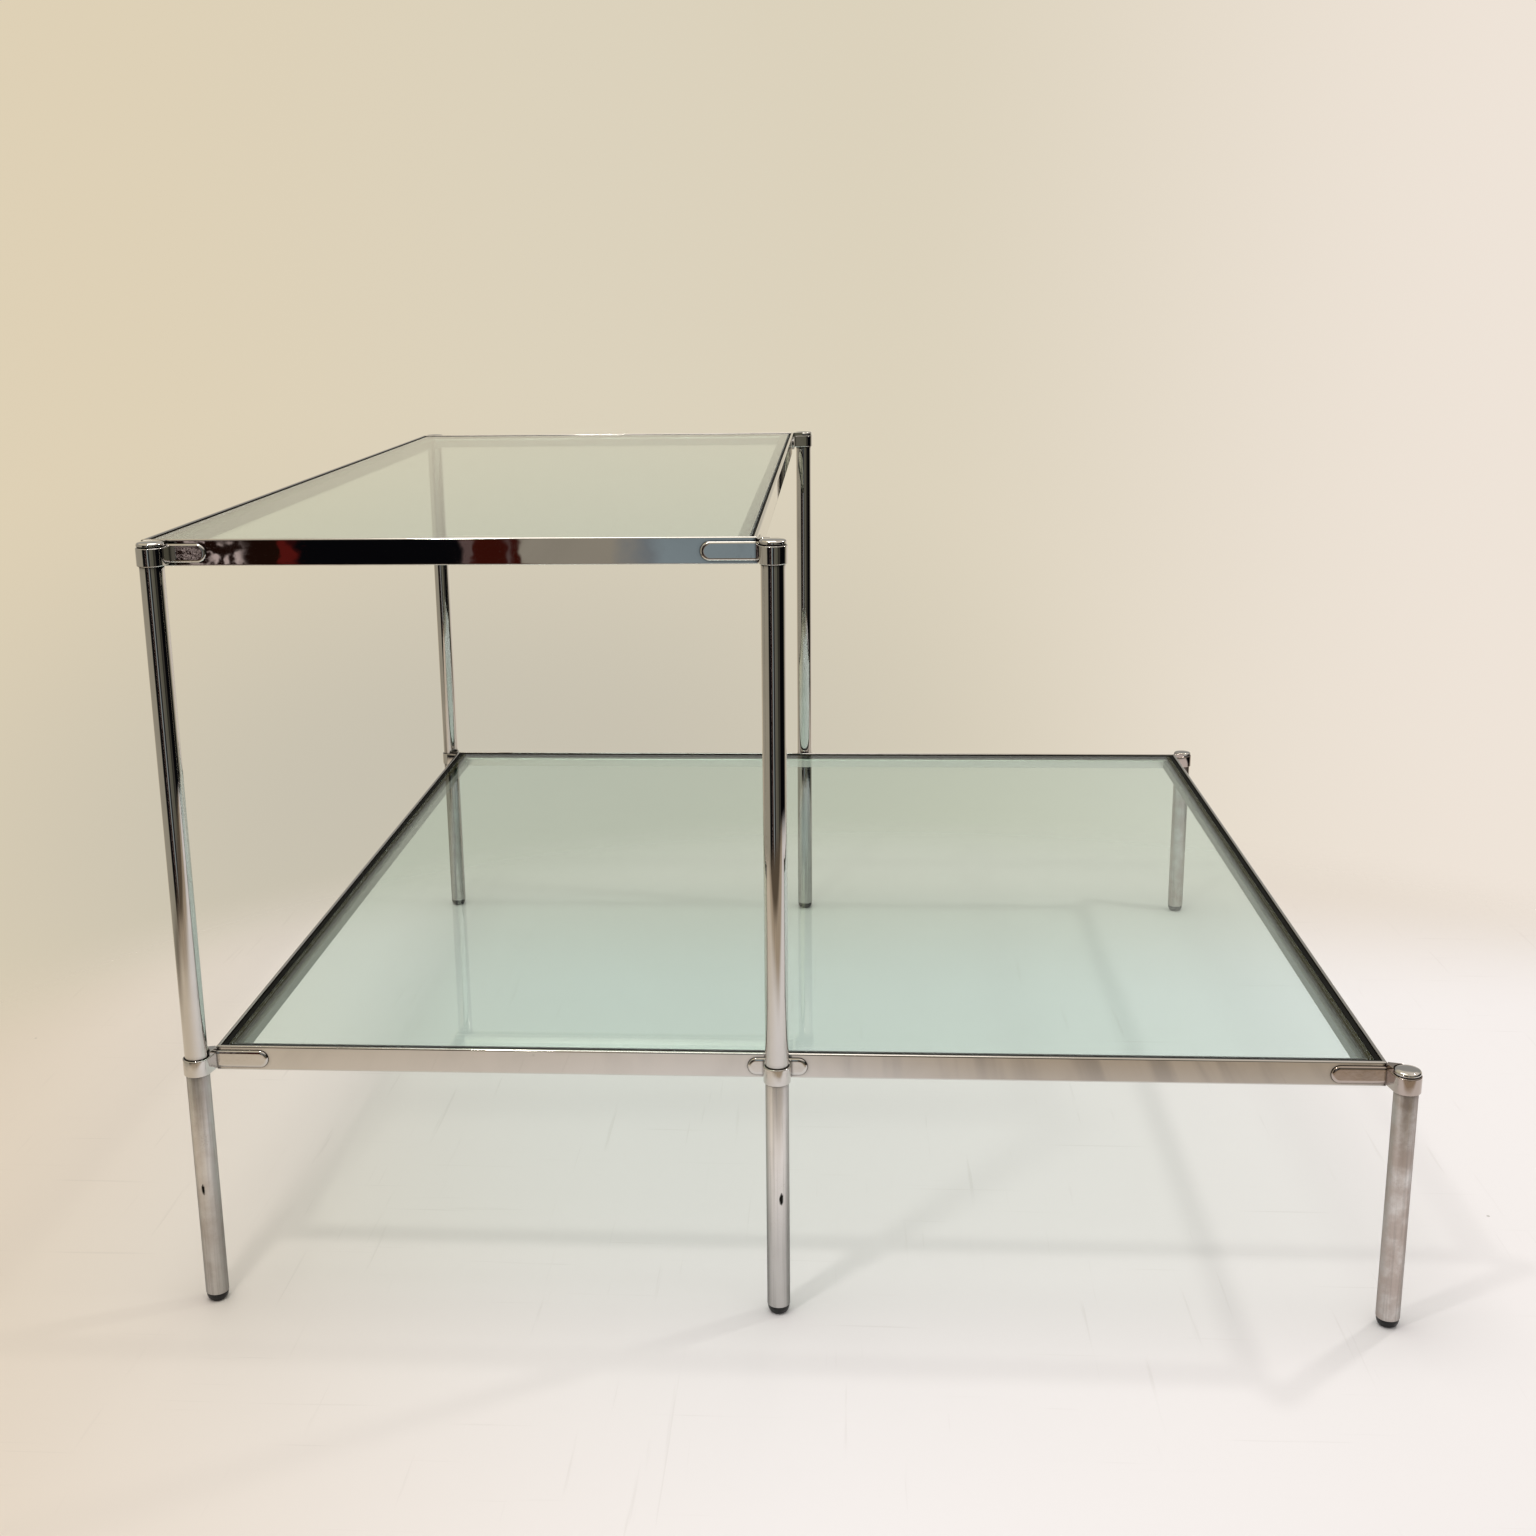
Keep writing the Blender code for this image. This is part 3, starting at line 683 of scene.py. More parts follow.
def crease_shade_and_grime():
    """Painted shade with grime in the creases where pieces meet, from ambient occlusion."""
    group, start = begin_group("crease_shade_and_grime", {"Reach": 3 * MM, "Amount": 0.8}, ("Darkening",))
    inputs = {"Distance": start["Reach"]}
    opening = next_node("ShaderNodeAmbientOcclusion", inputs, samples=8).outputs["AO"]
    return end_tree(group, {"Darkening": times(fall(opening, 0.60, 0.97), start["Amount"])})


def use_group(tree, maker, **values):
    """The outputs of a shared group, which is made on first use."""
    group = bpy.data.node_groups.get(maker.__name__) or maker()
    return add_node(tree, "ShaderNodeGroup", titled(values), node_tree=group).outputs


# Finishes


def flange_mask(place):
    """Where the rails' inner flanges lie under the glass, on either tier."""
    axes = axes_of(place)
    ledge = bpy.context.scene.table_sizes.ledge_depth
    margin = 4.5 * MM
    slack = 0.5 * MM
    flanges = []
    for tier in TIERS:
        box = tier_frame(tier)
        tests = []
        for axis, centre, span in zip("XY", box["middle"], box["span"]):
            tests.append(maths("LESS_THAN", distance(axes[axis], centre), span / 2 - margin))
        tests.append(maths("LESS_THAN", axes["Z"], box["top"] - ledge + slack))
        tests.append(maths("GREATER_THAN", axes["Z"], box["bottom"] - MM))
        flanges.append(times(*tests))
    return maths("MAXIMUM", *flanges)


def rear_sheen(place):
    """The inner half of the rear rails' flanges, which catches the light of the wall."""
    box = tier_frame("lower")
    width = box["width"]
    forward = maths("SUBTRACT", box["rear"], axes_of(place)["Y"])
    rear = maths("LESS_THAN", forward, width + MM)
    return times(rear, ramp(forward, 0.56 * width, 0.84 * width))


def polished_chrome(tree, finishes):
    """Mirror chrome with faint waves, hairline scratches and smears, dull and with painted shade under the
    glass, and painted shade with grime in the creases.
    """
    marks = use_group(tree, rub_marks, fineness=55.0, amount=0.5)
    # Painted shade with grime in the creases, from ambient occlusion
    darkening = use_group(tree, crease_shade_and_grime, reach=4 * MM, amount=0.95)["Darkening"]
    place = object_place(tree)
    # Painted shade: the flanges under the glass are dark and dull, and the rear ones carry a painted sheen of
    # the wall
    flange = flange_mask(place)
    plating_shade_and_sheen = mixed(rear_sheen(place), finishes.flange, finishes.flange_sheen)
    paint = layered(
        finishes.chrome,
        (times(marks["Smears"], 0.22), scaled(finishes.chrome, 0.62)),
        (darkening, finishes.darkening),
        (flange, plating_shade_and_sheen),
    )
    haze = between(marks["Smears"], 0.008, 0.03)
    worn = linear(marks["Scratches"], 0.08, haze)
    wavy = bump(noise(place, 22.0, 1.0), 0.05 * MM)
    return {
        "Base Color": paint,
        "Metallic": 1.0,
        "Roughness": linear(flange, 0.3, worn),
        "Normal": bump(marks["Scratches"], 0.002 * MM, 0.5, normal=wavy),
    }


def leg_point(node, turn, height):
    """A point on a leg's face, turned from the front, at a height."""
    radius = radius_of(node)
    centre = middle_of(node)
    angle = math.radians(turn)
    return (centre.x + radius * math.sin(angle), centre.y - radius * math.cos(angle), height)


def knock(place, spot, size):
    """A mask of one upright knock in the plating, round a point on a leg."""
    squash = 0.3
    near = about(place, spot, (1 / size, 1 / size, squash / size))
    edge = linear(noise(near, 1.5, 2.0), 1.2, size_of(near))
    return fall(edge, 1.3, 1.8)


def worn_chrome(tree, finishes):
    """Hazed chrome with fine pits, scuffs, brown patches and a few deep knocks, a painted highlight on the
    side that faces the front, painted shade with grime in the creases, and darker lower ends.
    """
    marks = use_group(tree, rub_marks, fineness=70.0, amount=0.7)
    pits = use_group(tree, pitting, fineness=850.0, cover=0.34)
    # Painted shade with grime in the creases, from ambient occlusion
    darkening = use_group(tree, crease_shade_and_grime, reach=4 * MM, amount=0.7)["Darkening"]
    source = add_node(tree, "ShaderNodeTexCoord").outputs
    place = source["Object"]
    axes = axes_of(place)
    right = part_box("leg_front_right")[0].x
    outer = ramp(maths("ABSOLUTE", axes["X"]), 0.5 * right, right)
    righthand = ramp(axes["X"], 0.5 * right, right)
    rear = ramp(axes["Y"], -0.2, 0.2)
    # Painted highlight and shade: the side of a leg that faces the front is lighter, its other sides darker
    forward = maths("MULTIPLY", axes_of(source["Normal"])["Y"], -1.0)
    facing_front = ramp(forward, 0.40, 0.97)
    front_tone = mixed(outer, finishes.worn, scaled(finishes.worn, 0.84))
    facing_tone = mixed(rear, front_tone, scaled(finishes.worn, 0.68))
    aged = linear(maths("ADD", outer, righthand), 0.38, 0.06)
    blotch = linear(righthand, 0.12, noise(place, 55.0, 5.0, roughness=0.6))
    # Darker towards the bottom of the front legs
    foot = fall(axes["Z"], 0.06, 0.175)
    share = linear(outer, -0.08, linear(righthand, -0.28, 0.36))
    streaks = noise(mapped(place, scale=(420.0, 420.0, 9.0)), 1.0, 3.0)
    spots = [(leg_point(node, turn, height), size) for node, turn, height, size in KNOCKS]
    knocks = maths("MAXIMUM", *(knock(place, spot, size) for spot, size in spots))
    paint = layered(
        scaled(finishes.worn, 0.56),
        (facing_front, facing_tone),
        (times(ramp(blotch, 0.32, 0.76), aged), finishes.tarnish),
        (times(foot, inverse(rear), share), finishes.darkening),
        (times(ramp(streaks, 0.45, 0.7), 0.22), finishes.stain),
        (times(pits["Pits"], 0.5), finishes.tarnish),
        (darkening, finishes.darkening),
        (knocks, finishes.knock),
    )
    kept = times(rear, inverse(righthand))
    rough = times(between(pits["Haze"], 0.26, 0.42), linear(kept, -0.7, 1.0))
    flaws = maths("MAXIMUM", pits["Pits"], knocks)
    pitted = bump(inverse(flaws), 0.03 * MM, 0.6)
    return {
        "Base Color": paint,
        "Metallic": 1.0,
        "Specular Tint": (0.6, 0.6, 0.6, 1.0),
        "Roughness": linear(marks["Scratches"], 0.10, rough),
        "Normal": bump(marks["Scratches"], 0.01 * MM, 0.5, normal=pitted),
    }


def cast_chrome(tree, finishes):
    """Polished chrome on a casting, a little uneven, with grime in its pores and painted shade with grime in
    its creases.
    """
    marks = use_group(tree, rub_marks, fineness=80.0, amount=0.5)
    pits = use_group(tree, pitting, fineness=620.0, cover=0.16)
    # Painted shade with grime in the creases, from ambient occlusion
    darkening = use_group(tree, crease_shade_and_grime, reach=2.5 * MM, amount=0.6)["Darkening"]
    place = object_place(tree)
    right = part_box("leg_front_right")[0].x
    aged = ramp(axes_of(place)["X"], 0.5 * right, 0.9 * right)
    paint = layered(
        finishes.chrome,
        (times(aged, 0.8), finishes.tarnish),
        (times(pits["Pits"], 0.5), finishes.stain),
        (darkening, finishes.darkening),
    )
    uneven = bump(noise(place, 130.0, 2.0), 0.07 * MM)
    return {
        "Base Color": paint,
        "Metallic": 1.0,
        "Roughness": between(marks["Smears"], 0.03, 0.09),
        "Normal": bump(marks["Scratches"], 0.004 * MM, 0.5, normal=uneven),
    }


def plain_steel(tree, finishes):
    """Turned steel with rings."""
    inputs = {"Vector": object_place(tree), "Scale": 700.0}
    rings = next_node("ShaderNodeTexWave", inputs, bands_direction="Z").outputs["Fac"]
    return {
        "Base Color": mixed(rings, finishes.steel, scaled(finishes.steel, 0.8)),
        "Metallic": 1.0,
        "Roughness": between(rings, 0.28, 0.42),
    }


def black_polymer(tree, base, dust_colour, dust_amount, shine, roughness, grain_depth):
    """Black rubber or plastic with dust and a fine moulded grain."""
    dust = use_group(tree, thin_dust, grain=900.0, amount=dust_amount)["Dust"]
    grain = noise(object_place(tree), 1400.0, 2.0)
    return {
        "Base Color": mixed(dust, base, dust_colour),
        "Roughness": between(grain, *roughness),
        "Specular IOR Level": shine,
        "Normal": bump(grain, grain_depth, 0.5),
    }


def seal_rubber(tree, finishes):
    return black_polymer(
        tree,
        finishes.rubber,
        finishes.dust,
        dust_amount=0.06,
        shine=0.03,
        roughness=(0.5, 0.7),
        grain_depth=0.02 * MM,
    )


def glide_plastic(tree, finishes):
    return black_polymer(
        tree,
        finishes.plastic,
        finishes.dust,
        dust_amount=0.20,
        shine=0.3,
        roughness=(0.3, 0.45),
        grain_depth=0.01 * MM,
    )


def edge_dirt(place):
    """Two lines of dirt on the lower pane, along its left and right seals."""
    axes = axes_of(place)
    low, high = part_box("pane_lower")
    away = distance(axes["X"], (low.x + high.x) / 2)
    margin = maths("SUBTRACT", (high.x - low.x) / 2, away)
    uneven = noise(place, 160.0, 3.0)
    ragged = linear(uneven, 1.6 * MM, margin)
    first = strip((margin, 1.0 * MM, 1.4 * MM), (margin, 3.0 * MM, 3.4 * MM))
    second = strip((margin, 3.9 * MM, 4.3 * MM), (ragged, 5.6 * MM, 6.8 * MM))
    slack = 5 * MM
    lower = maths("LESS_THAN", axes["Z"], high.z + slack)
    patchy = between(ramp(uneven, 0.35, 0.65), 0.97, 0.72)
    return times(maths("MAXIMUM", first, second), lower, patchy)


def tinted_glass(tree, finishes):
    """Clear green glass with hairline scratches, smears and dust. Light passes through it to the floor."""
    marks = use_group(tree, rub_marks, fineness=18.0, amount=0.5)
    dust = use_group(tree, thin_dust, grain=420.0, amount=0.16)["Dust"]
    source = add_node(tree, "ShaderNodeTexCoord").outputs
    upright = maths("ABSOLUTE", axes_of(source["Normal"])["Z"])
    arris_slope = 0.707
    arris = fall(distance(upright, arris_slope), 0.1, 0.2)
    milky = linear(marks["Smears"], 0.05, dust)
    scuffed = linear(arris, 0.55, times(marks["Scratches"], 0.10))
    side = fall(upright, 0.40, 0.60)
    shut = maths("MAXIMUM", side, edge_dirt(source["Object"]))
    sealed = add_node(tree, "ShaderNodeBsdfDiffuse", {"Color": opaque(finishes.edge)})
    paths = add_node(tree, "ShaderNodeLightPath").outputs
    passing = maths("MAXIMUM", paths["Is Shadow Ray"], paths["Is Diffuse Ray"])
    clear = add_node(tree, "ShaderNodeBsdfTransparent", {"Color": opaque(finishes.veil)})
    pane = blended(shut, tree.nodes["Principled BSDF"], sealed)
    set_surface(tree, blended(passing, pane, clear))
    return {
        "Base Color": mixed(milky, finishes.glass, scaled(finishes.glass, 0.86)),
        "Roughness": linear(dust, 0.2, scuffed),
        "IOR": 1.52,
        "Transmission Weight": 1.0,
    }


SLOT_FINISHES = {
    "polished_chrome": polished_chrome,
    "worn_chrome": worn_chrome,
    "cast_chrome": cast_chrome,
    "plain_steel": plain_steel,
    "seal_rubber": seal_rubber,
    "glide_plastic": glide_plastic,
    "glass": tinted_glass,
}


def finish(slot):
    """The finish of a slot, made on first use."""
    maker = SLOT_FINISHES[slot]
    name = f"{maker.__name__}_fine"
    return bpy.data.materials.get(name) or new_material(name, maker, bpy.context.scene.table_finishes)


# Castings


def tangent_angle(centre, radius, point, side):
    """Angle, in degrees, of the point where a line from an outside point touches a circle."""
    away = Vector(point) - Vector(centre)
    swing = math.degrees(math.acos(radius / away.length))
    return math.degrees(math.atan2(away.y, away.x)) + side * swing


def collar_rows(sizes, edge):
    """(inset, height) pairs up a collar's side, with both rims rounded."""
    rows = edge_rows(edge, RIM_SUPPORT)
    below = [(gap, -sizes.collar_bottom + drop) for gap, drop in rows]
    return below + [(gap, -sizes.collar_top - drop) for gap, drop in reversed(rows)]


def collar_mesh(sizes, bore, centre, inner):
    """A collar and its web with rounded rims and a bore."""
    radius = bore + sizes.collar_wall
    start = tangent_angle(centre, radius, inner[0], 1)
    end = tangent_angle(centre, radius, inner[-1], -1)
    while end < start:
        end += 360
    facets = sizes.round_facets
    outline = arc(centre, radius, start, end, int(facets * (end - start) / 360)) + list(reversed(inner))
    openings = []
    for gap, height in collar_rows(sizes, sizes.bore_edge):
        openings.append((arc(centre, bore + gap, 0, 360, facets)[:-1], height))
    bm = bmesh.new()
    rims = skin(bm, insets(outline, collar_rows(sizes, sizes.collar_edge)))
    bores = skin(bm, openings)
    for rim, opening in ((rims[0], bores[0]), (rims[-1], bores[-1])):
        bmesh.ops.triangle_fill(bm, use_beauty=True, edges=rim[1] + opening[1])
    return to_mesh(bm, "collar")


def bent_point(along, height, depth):
    """A point of a strap, at a distance along it from the frame's corner and a depth off the rails."""
    if abs(along) < MM / 1000:
        return (-depth, -depth, height)
    if along < 0:
        return (-depth, -along, height)
    return (along, -depth, height)


def straight_point(along, height, depth):
    return (along, -depth, height)


def strap_mesh(sizes, start, end, point):
    """A plate on the rails' outer faces, with full-round ends and a rounded face."""
    low, high = -sizes.tongue_bottom, -sizes.tongue_top
    radius = (high - low) / 2
    middle = (high + low) / 2
    outline = [(0, low)] + arc((end - radius, middle), radius, -90, 90, 4 * EDGE_STEPS)
    top = len(outline)
    outline += [(0, high)] + arc((start + radius, middle), radius, 90, 270, 4 * EDGE_STEPS)
    front = sizes.seat_gap + sizes.tongue
    spread = 1.7
    rows = [(0.0, sizes.seat_gap)]
    rows += [(spread * gap, front - drop) for gap, drop in reversed(edge_rows(sizes.tongue_edge))]
    bm = bmesh.new()
    rings = skin(bm, insets(outline, rows), point)
    for ring, _ in (rings[0], rings[-1]):
        bm.faces.new(ring[: top + 1])
        bm.faces.new(ring[top:] + ring[:1])
    return to_mesh(bm, "strap")


def crest_mesh(sizes, centre, hollow_radius, inner, facing, swing):
    """The top of a web, level with the rail, hollowed round the cap. Facing and swing are in degrees."""
    hollow = arc(centre, hollow_radius, facing + swing, facing - swing, 3 * EDGE_STEPS)
    edge = 0.3 * MM
    top = -0.2 * MM
    root = 1.5 * MM
    rows = [(0.0, -sizes.collar_top - root)]
    rows += [(gap, top - drop) for gap, drop in reversed(edge_rows(edge, 0.05 * MM))]
    return capped_mesh("crest", insets(hollow + list(reversed(inner)), rows))


def united(meshes):
    """Joins overlapping closed meshes into one casting."""
    workers = [new_object("worker", mesh) for mesh in meshes]
    for other in workers[1:]:
        join = workers[0].modifiers.new("join", "BOOLEAN")
        join.operation = "UNION"
        join.solver = "EXACT"
        join.object = other
    casting = plain_mesh(workers[0])
    for worker in workers:
        discard(worker)
    return smooth(casting)


def other_hand(mesh):
    """A mirror copy across the corner's diagonal."""
    copy = mesh.copy()
    copy.transform(Matrix(((0, 1, 0, 0), (1, 0, 0, 0), (0, 0, 1, 0), (0, 0, 0, 1))))
    copy.flip_normals()
    return copy


# Operators


class SIDETABLE_OT_tubes(bpy.types.Operator):
    """Make the legs and posts as fine tubes"""

    bl_idname = "sidetable.tubes"
    bl_label = "Legs and posts"

    def execute(self, context):
        sizes = context.scene.table_sizes
        tree = tube_tree()
        for kind, places, slot in (("leg", LEGS, "worn_chrome"), ("post", POSTS, "polished_chrome")):
            for place in places:
                node = f"{kind}_{place}"
                low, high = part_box(node)
                values = {
                    "Outer Radius": radius_of(node),
                    "Wall": sizes.tube_wall,
                    "Length": high.z - low.z,
                    "Lip": sizes.tube_lip,
                    "Facets": sizes.round_facets,
                    "Material": finish(slot),
                }
                dress(node, grown(tree, foot_of(node), values), slot)
        return {"FINISHED"}


class SIDETABLE_OT_ends(bpy.types.Operator):
    """Make the caps on the leg tops and the glides under the feet"""

    bl_idname = "sidetable.ends"
    bl_label = "Caps and glides"

    def execute(self, context):
        sizes = context.scene.table_sizes
        tree = pattern_tree()
        for kind, maker, slot in (
            ("cap", self.cap, "polished_chrome"),
            ("glide", self.glide, "glide_plastic"),
        ):
            nodes = [f"{kind}_{place}" for place in LEGS]
            low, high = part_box(nodes[0])
            pattern = new_object(f"{kind}_pattern", maker(sizes, radius_of(nodes[0]), high.z - low.z))
            for node in nodes:
                put_copy(tree, node, pattern, foot_of(node), 0.0, slot)
            discard(pattern)
        return {"FINISHED"}

    def cap(self, sizes, radius, height):
        """A low round cap on a spigot."""
        spigot = 8.2 * MM
        shoulder = 14 * MM
        undercut = 1.0 * MM
        lead_in = 1.2 * MM
        under_edge = 0.2 * MM
        side_edge = 0.3 * MM
        profile = rounded(
            [
                (0, 0, 0),
                (spigot, 0, lead_in),
                (spigot, shoulder, 0),
                (radius - undercut, shoulder, under_edge),
                (radius, shoulder + undercut, side_edge),
                (radius, height - sizes.cap_rise, sizes.cap_edge),
                (0, height, 0),
            ],
            SUPPORT,
        )
        steps = 8
        crown = []
        for k in range(steps - 2, 0, -1):
            crown.append((radius * k / steps, height - sizes.cap_rise * (k / steps) ** 2))
        return turned_mesh("cap_pattern", profile[:-1] + crown + profile[-1:], sizes.round_facets)

    def glide(self, sizes, radius, height):
        """A domed foot on a spigot."""
        spigot = 8.2 * MM
        shoulder = 7.5 * MM
        dome = radius - sizes.glide_flat
        steps = 3 * EDGE_STEPS
        profile = [(0, 0)]
        for k in range(steps + 1):
            angle = math.radians(90 * k / steps)
            profile.append((sizes.glide_flat + dome * math.sin(angle), shoulder * (1 - math.cos(angle))))
        profile += [(spigot, shoulder), (spigot, height - MM), (spigot - MM, height), (0, height)]
        return turned_mesh("glide_pattern", profile, sizes.round_facets)


class SIDETABLE_OT_connectors(bpy.types.Operator):
    """Make the cast connectors that join the legs to the frames"""

    bl_idname = "sidetable.connectors"
    bl_label = "Cast connectors"

    def execute(self, context):
        sizes = context.scene.table_sizes
        tree = pattern_tree()
        boxes = {tier: tier_frame(tier) for tier in TIERS}
        lower = boxes["lower"]
        leg = middle_of("leg_front_left")
        standoff = lower["left"] - leg.x
        end = self.end(sizes, standoff, leg.x - boxes["upper"]["left"])
        meshes = {
            "corner": self.corner(sizes, standoff),
            "end": end,
            "end_mirror": other_hand(end),
            "middle": self.middle(sizes, standoff),
        }
        patterns = {kind: new_object(f"{kind}_pattern", mesh) for kind, mesh in meshes.items()}
        special = {"upper_front_left": "end", "upper_rear_left": "end_mirror"}
        for tier, box in boxes.items():
            for i, (side, row) in enumerate(CORNERS):
                column = "middle" if tier == "upper" and side == "right" else side
                place = f"{tier}_{row}_{column}"
                pattern = patterns[special.get(place, "corner")]
                point = (box[side], box[row], box["top"])
                put_copy(tree, f"connector_{place}", pattern, point, math.radians(90 * i), "cast_chrome")
        for row, turn in (("front", 0.0), ("rear", math.pi)):
            node = f"connector_lower_{row}_middle"
            point = (middle_of(f"leg_{row}_middle").x, lower[row], lower["top"])
            put_copy(tree, node, patterns["middle"], point, turn, "cast_chrome")
        for pattern in patterns.values():
            discard(pattern)
        return {"FINISHED"}

    def casting(self, sizes, centre, web, strap, crest=None):
        """A collar with its web, joined to a strap and, under a cap, to a crest."""
        bore = radius_of("leg_front_left") + sizes.seat_gap
        meshes = [collar_mesh(sizes, bore, centre, web), strap]
        if crest:
            hollow_radius = radius_of("cap_front_left") + sizes.seat_gap
            meshes.append(crest_mesh(sizes, centre, hollow_radius, *crest))
        return united(meshes)

    def web_gap(self, sizes):
        """Depth of a web's back off the rail, half way through the tongue."""
        return sizes.seat_gap + sizes.tongue / 2

    def corner(self, sizes, standoff):
        """A casting round an outside corner, with rails along +X and +Y."""
        reach = sizes.corner_web
        web, inner = (
            [(-gap, reach), (-gap, -gap), (reach, -gap)] for gap in (self.web_gap(sizes), CREST_GAP)
        )
        strap = strap_mesh(sizes, -sizes.tongue_reach, sizes.tongue_reach, bent_point)
        facing, swing = 45, 40
        return self.casting(sizes, (-standoff, -standoff), web, strap, (inner, facing, swing))

    def end(self, sizes, standoff, overhang):
        """A casting for a post in front of the rail, near the frame's corner."""
        web, inner = (
            [(overhang - half, -gap), (overhang + half, -gap)]
            for half, gap in ((sizes.tab_web, self.web_gap(sizes)), (sizes.crest_spread, CREST_GAP))
        )
        strap = strap_mesh(sizes, -sizes.tongue_reach, sizes.end_reach, bent_point)
        facing, swing = 90, 50
        return self.casting(sizes, (overhang, -standoff), web, strap, (inner, facing, swing))

    def middle(self, sizes, standoff):
        """A casting for a leg that passes a straight rail."""
        gap = self.web_gap(sizes)
        web = [(-sizes.tab_web, -gap), (sizes.tab_web, -gap)]
        half = sizes.tab_length / 2
        return self.casting(sizes, (0, -standoff), web, strap_mesh(sizes, -half, half, straight_point))


class SIDETABLE_OT_rails(bpy.types.Operator):
    """Make the mitred rails and the seals inside them"""

    bl_idname = "sidetable.rails"
    bl_label = "Rails and seals"

    def execute(self, context):
        sizes = context.scene.table_sizes
        recess = sizes.seat_gap / math.sqrt(2)
        seal_widths = {"lower": sizes.lower_seal, "upper": sizes.upper_seal}
        for tier in TIERS:
            box = tier_frame(tier)
            middle_x, middle_y = box["middle"]
            width, depth = box["span"]
            seats = {
                "front": (middle_x, box["front"], width),
                "right": (box["right"], middle_y, depth),
                "rear": (middle_x, box["rear"], width),
                "left": (box["left"], middle_y, depth),
            }
            bars = (
                ("rail", self.rail(sizes, box), "polished_chrome"),
                ("seal", self.seal(sizes, seal_widths[tier]), "seal_rubber"),
            )
            for kind, section, slot in bars:
                for i, side in enumerate(SIDES):
                    x, y, span = seats[side]
                    node = f"{kind}_{tier}_{side}"
                    mesh = mitred_mesh(node, span / 2, section, recess)
                    turn = Matrix.Rotation(math.radians(90 * i), 4, "Z")
                    mesh.transform(Matrix.Translation((x, y, box["top"])) @ turn)
                    dress(node, mesh, slot)
        return {"FINISHED"}

    def rail(self, sizes, box):
        """The rail's section: distance in from the outer face, and height from the top edge."""
        low = box["bottom"] - box["top"]
        ledge = -sizes.ledge_depth
        ledge_edge = 1.0 * MM
        inner_edge = 0.9 * MM
        return rounded(
            [
                (0, low, sizes.rail_low_edge),
                (box["width"], low, sizes.rail_low_edge),
                (box["width"], ledge, ledge_edge),
                (sizes.upstand, ledge, 0),
                (sizes.upstand, 0, inner_edge),
                (0, 0, sizes.rail_top_edge),
            ],
            SUPPORT,
        )

    def seal(self, sizes, width):
        """An L-shaped strip: a wall beside the glass and a lip under it."""
        outside = sizes.upstand + sizes.seat_gap
        inside = outside + width
        low = sizes.seat_gap - sizes.ledge_depth
        lip = low + sizes.seal_lip
        top = -1.4 * MM
        soft = 0.4 * MM
        return rounded(
            [
                (outside, low, 0),
                (inside + sizes.seal_bearing, low, soft),
                (inside + sizes.seal_bearing, lip, soft),
                (inside, lip, 0),
                (inside, top, soft),
                (outside, top, soft),
            ]
        )


class SIDETABLE_OT_panes(bpy.types.Operator):
    """Make the two glass panes with ground edges"""

    bl_idname = "sidetable.panes"
    bl_label = "Glass panes"

    def execute(self, context):
        sizes = context.scene.table_sizes
        arris = sizes.glass_arris
        for node, body in PANE_BODIES.items():
            low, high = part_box(node)
            corners = ((low.x, low.y), (high.x, low.y), (high.x, high.y), (low.x, high.y))
            outline = rounded([(x, y, sizes.glass_corner) for x, y in corners])
            rows = ((arris, low.z), (0, low.z + arris), (0, high.z - arris), (arris, high.z))
            dress(node, capped_mesh(node, insets(outline, rows)), "glass", body)
        return {"FINISHED"}


class SIDETABLE_OT_spigots(bpy.types.Operator):
    """Give the joining spigots inside the tubes their turned steel finish"""

    bl_idname = "sidetable.spigots"
    bl_label = "Joining spigots"

    def execute(self, context):
        for place in POSTS:
            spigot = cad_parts[f"joint_spigot_{place}"]
            for slot in spigot.material_slots:
                slot.material = finish("plain_steel")
        return {"FINISHED"}


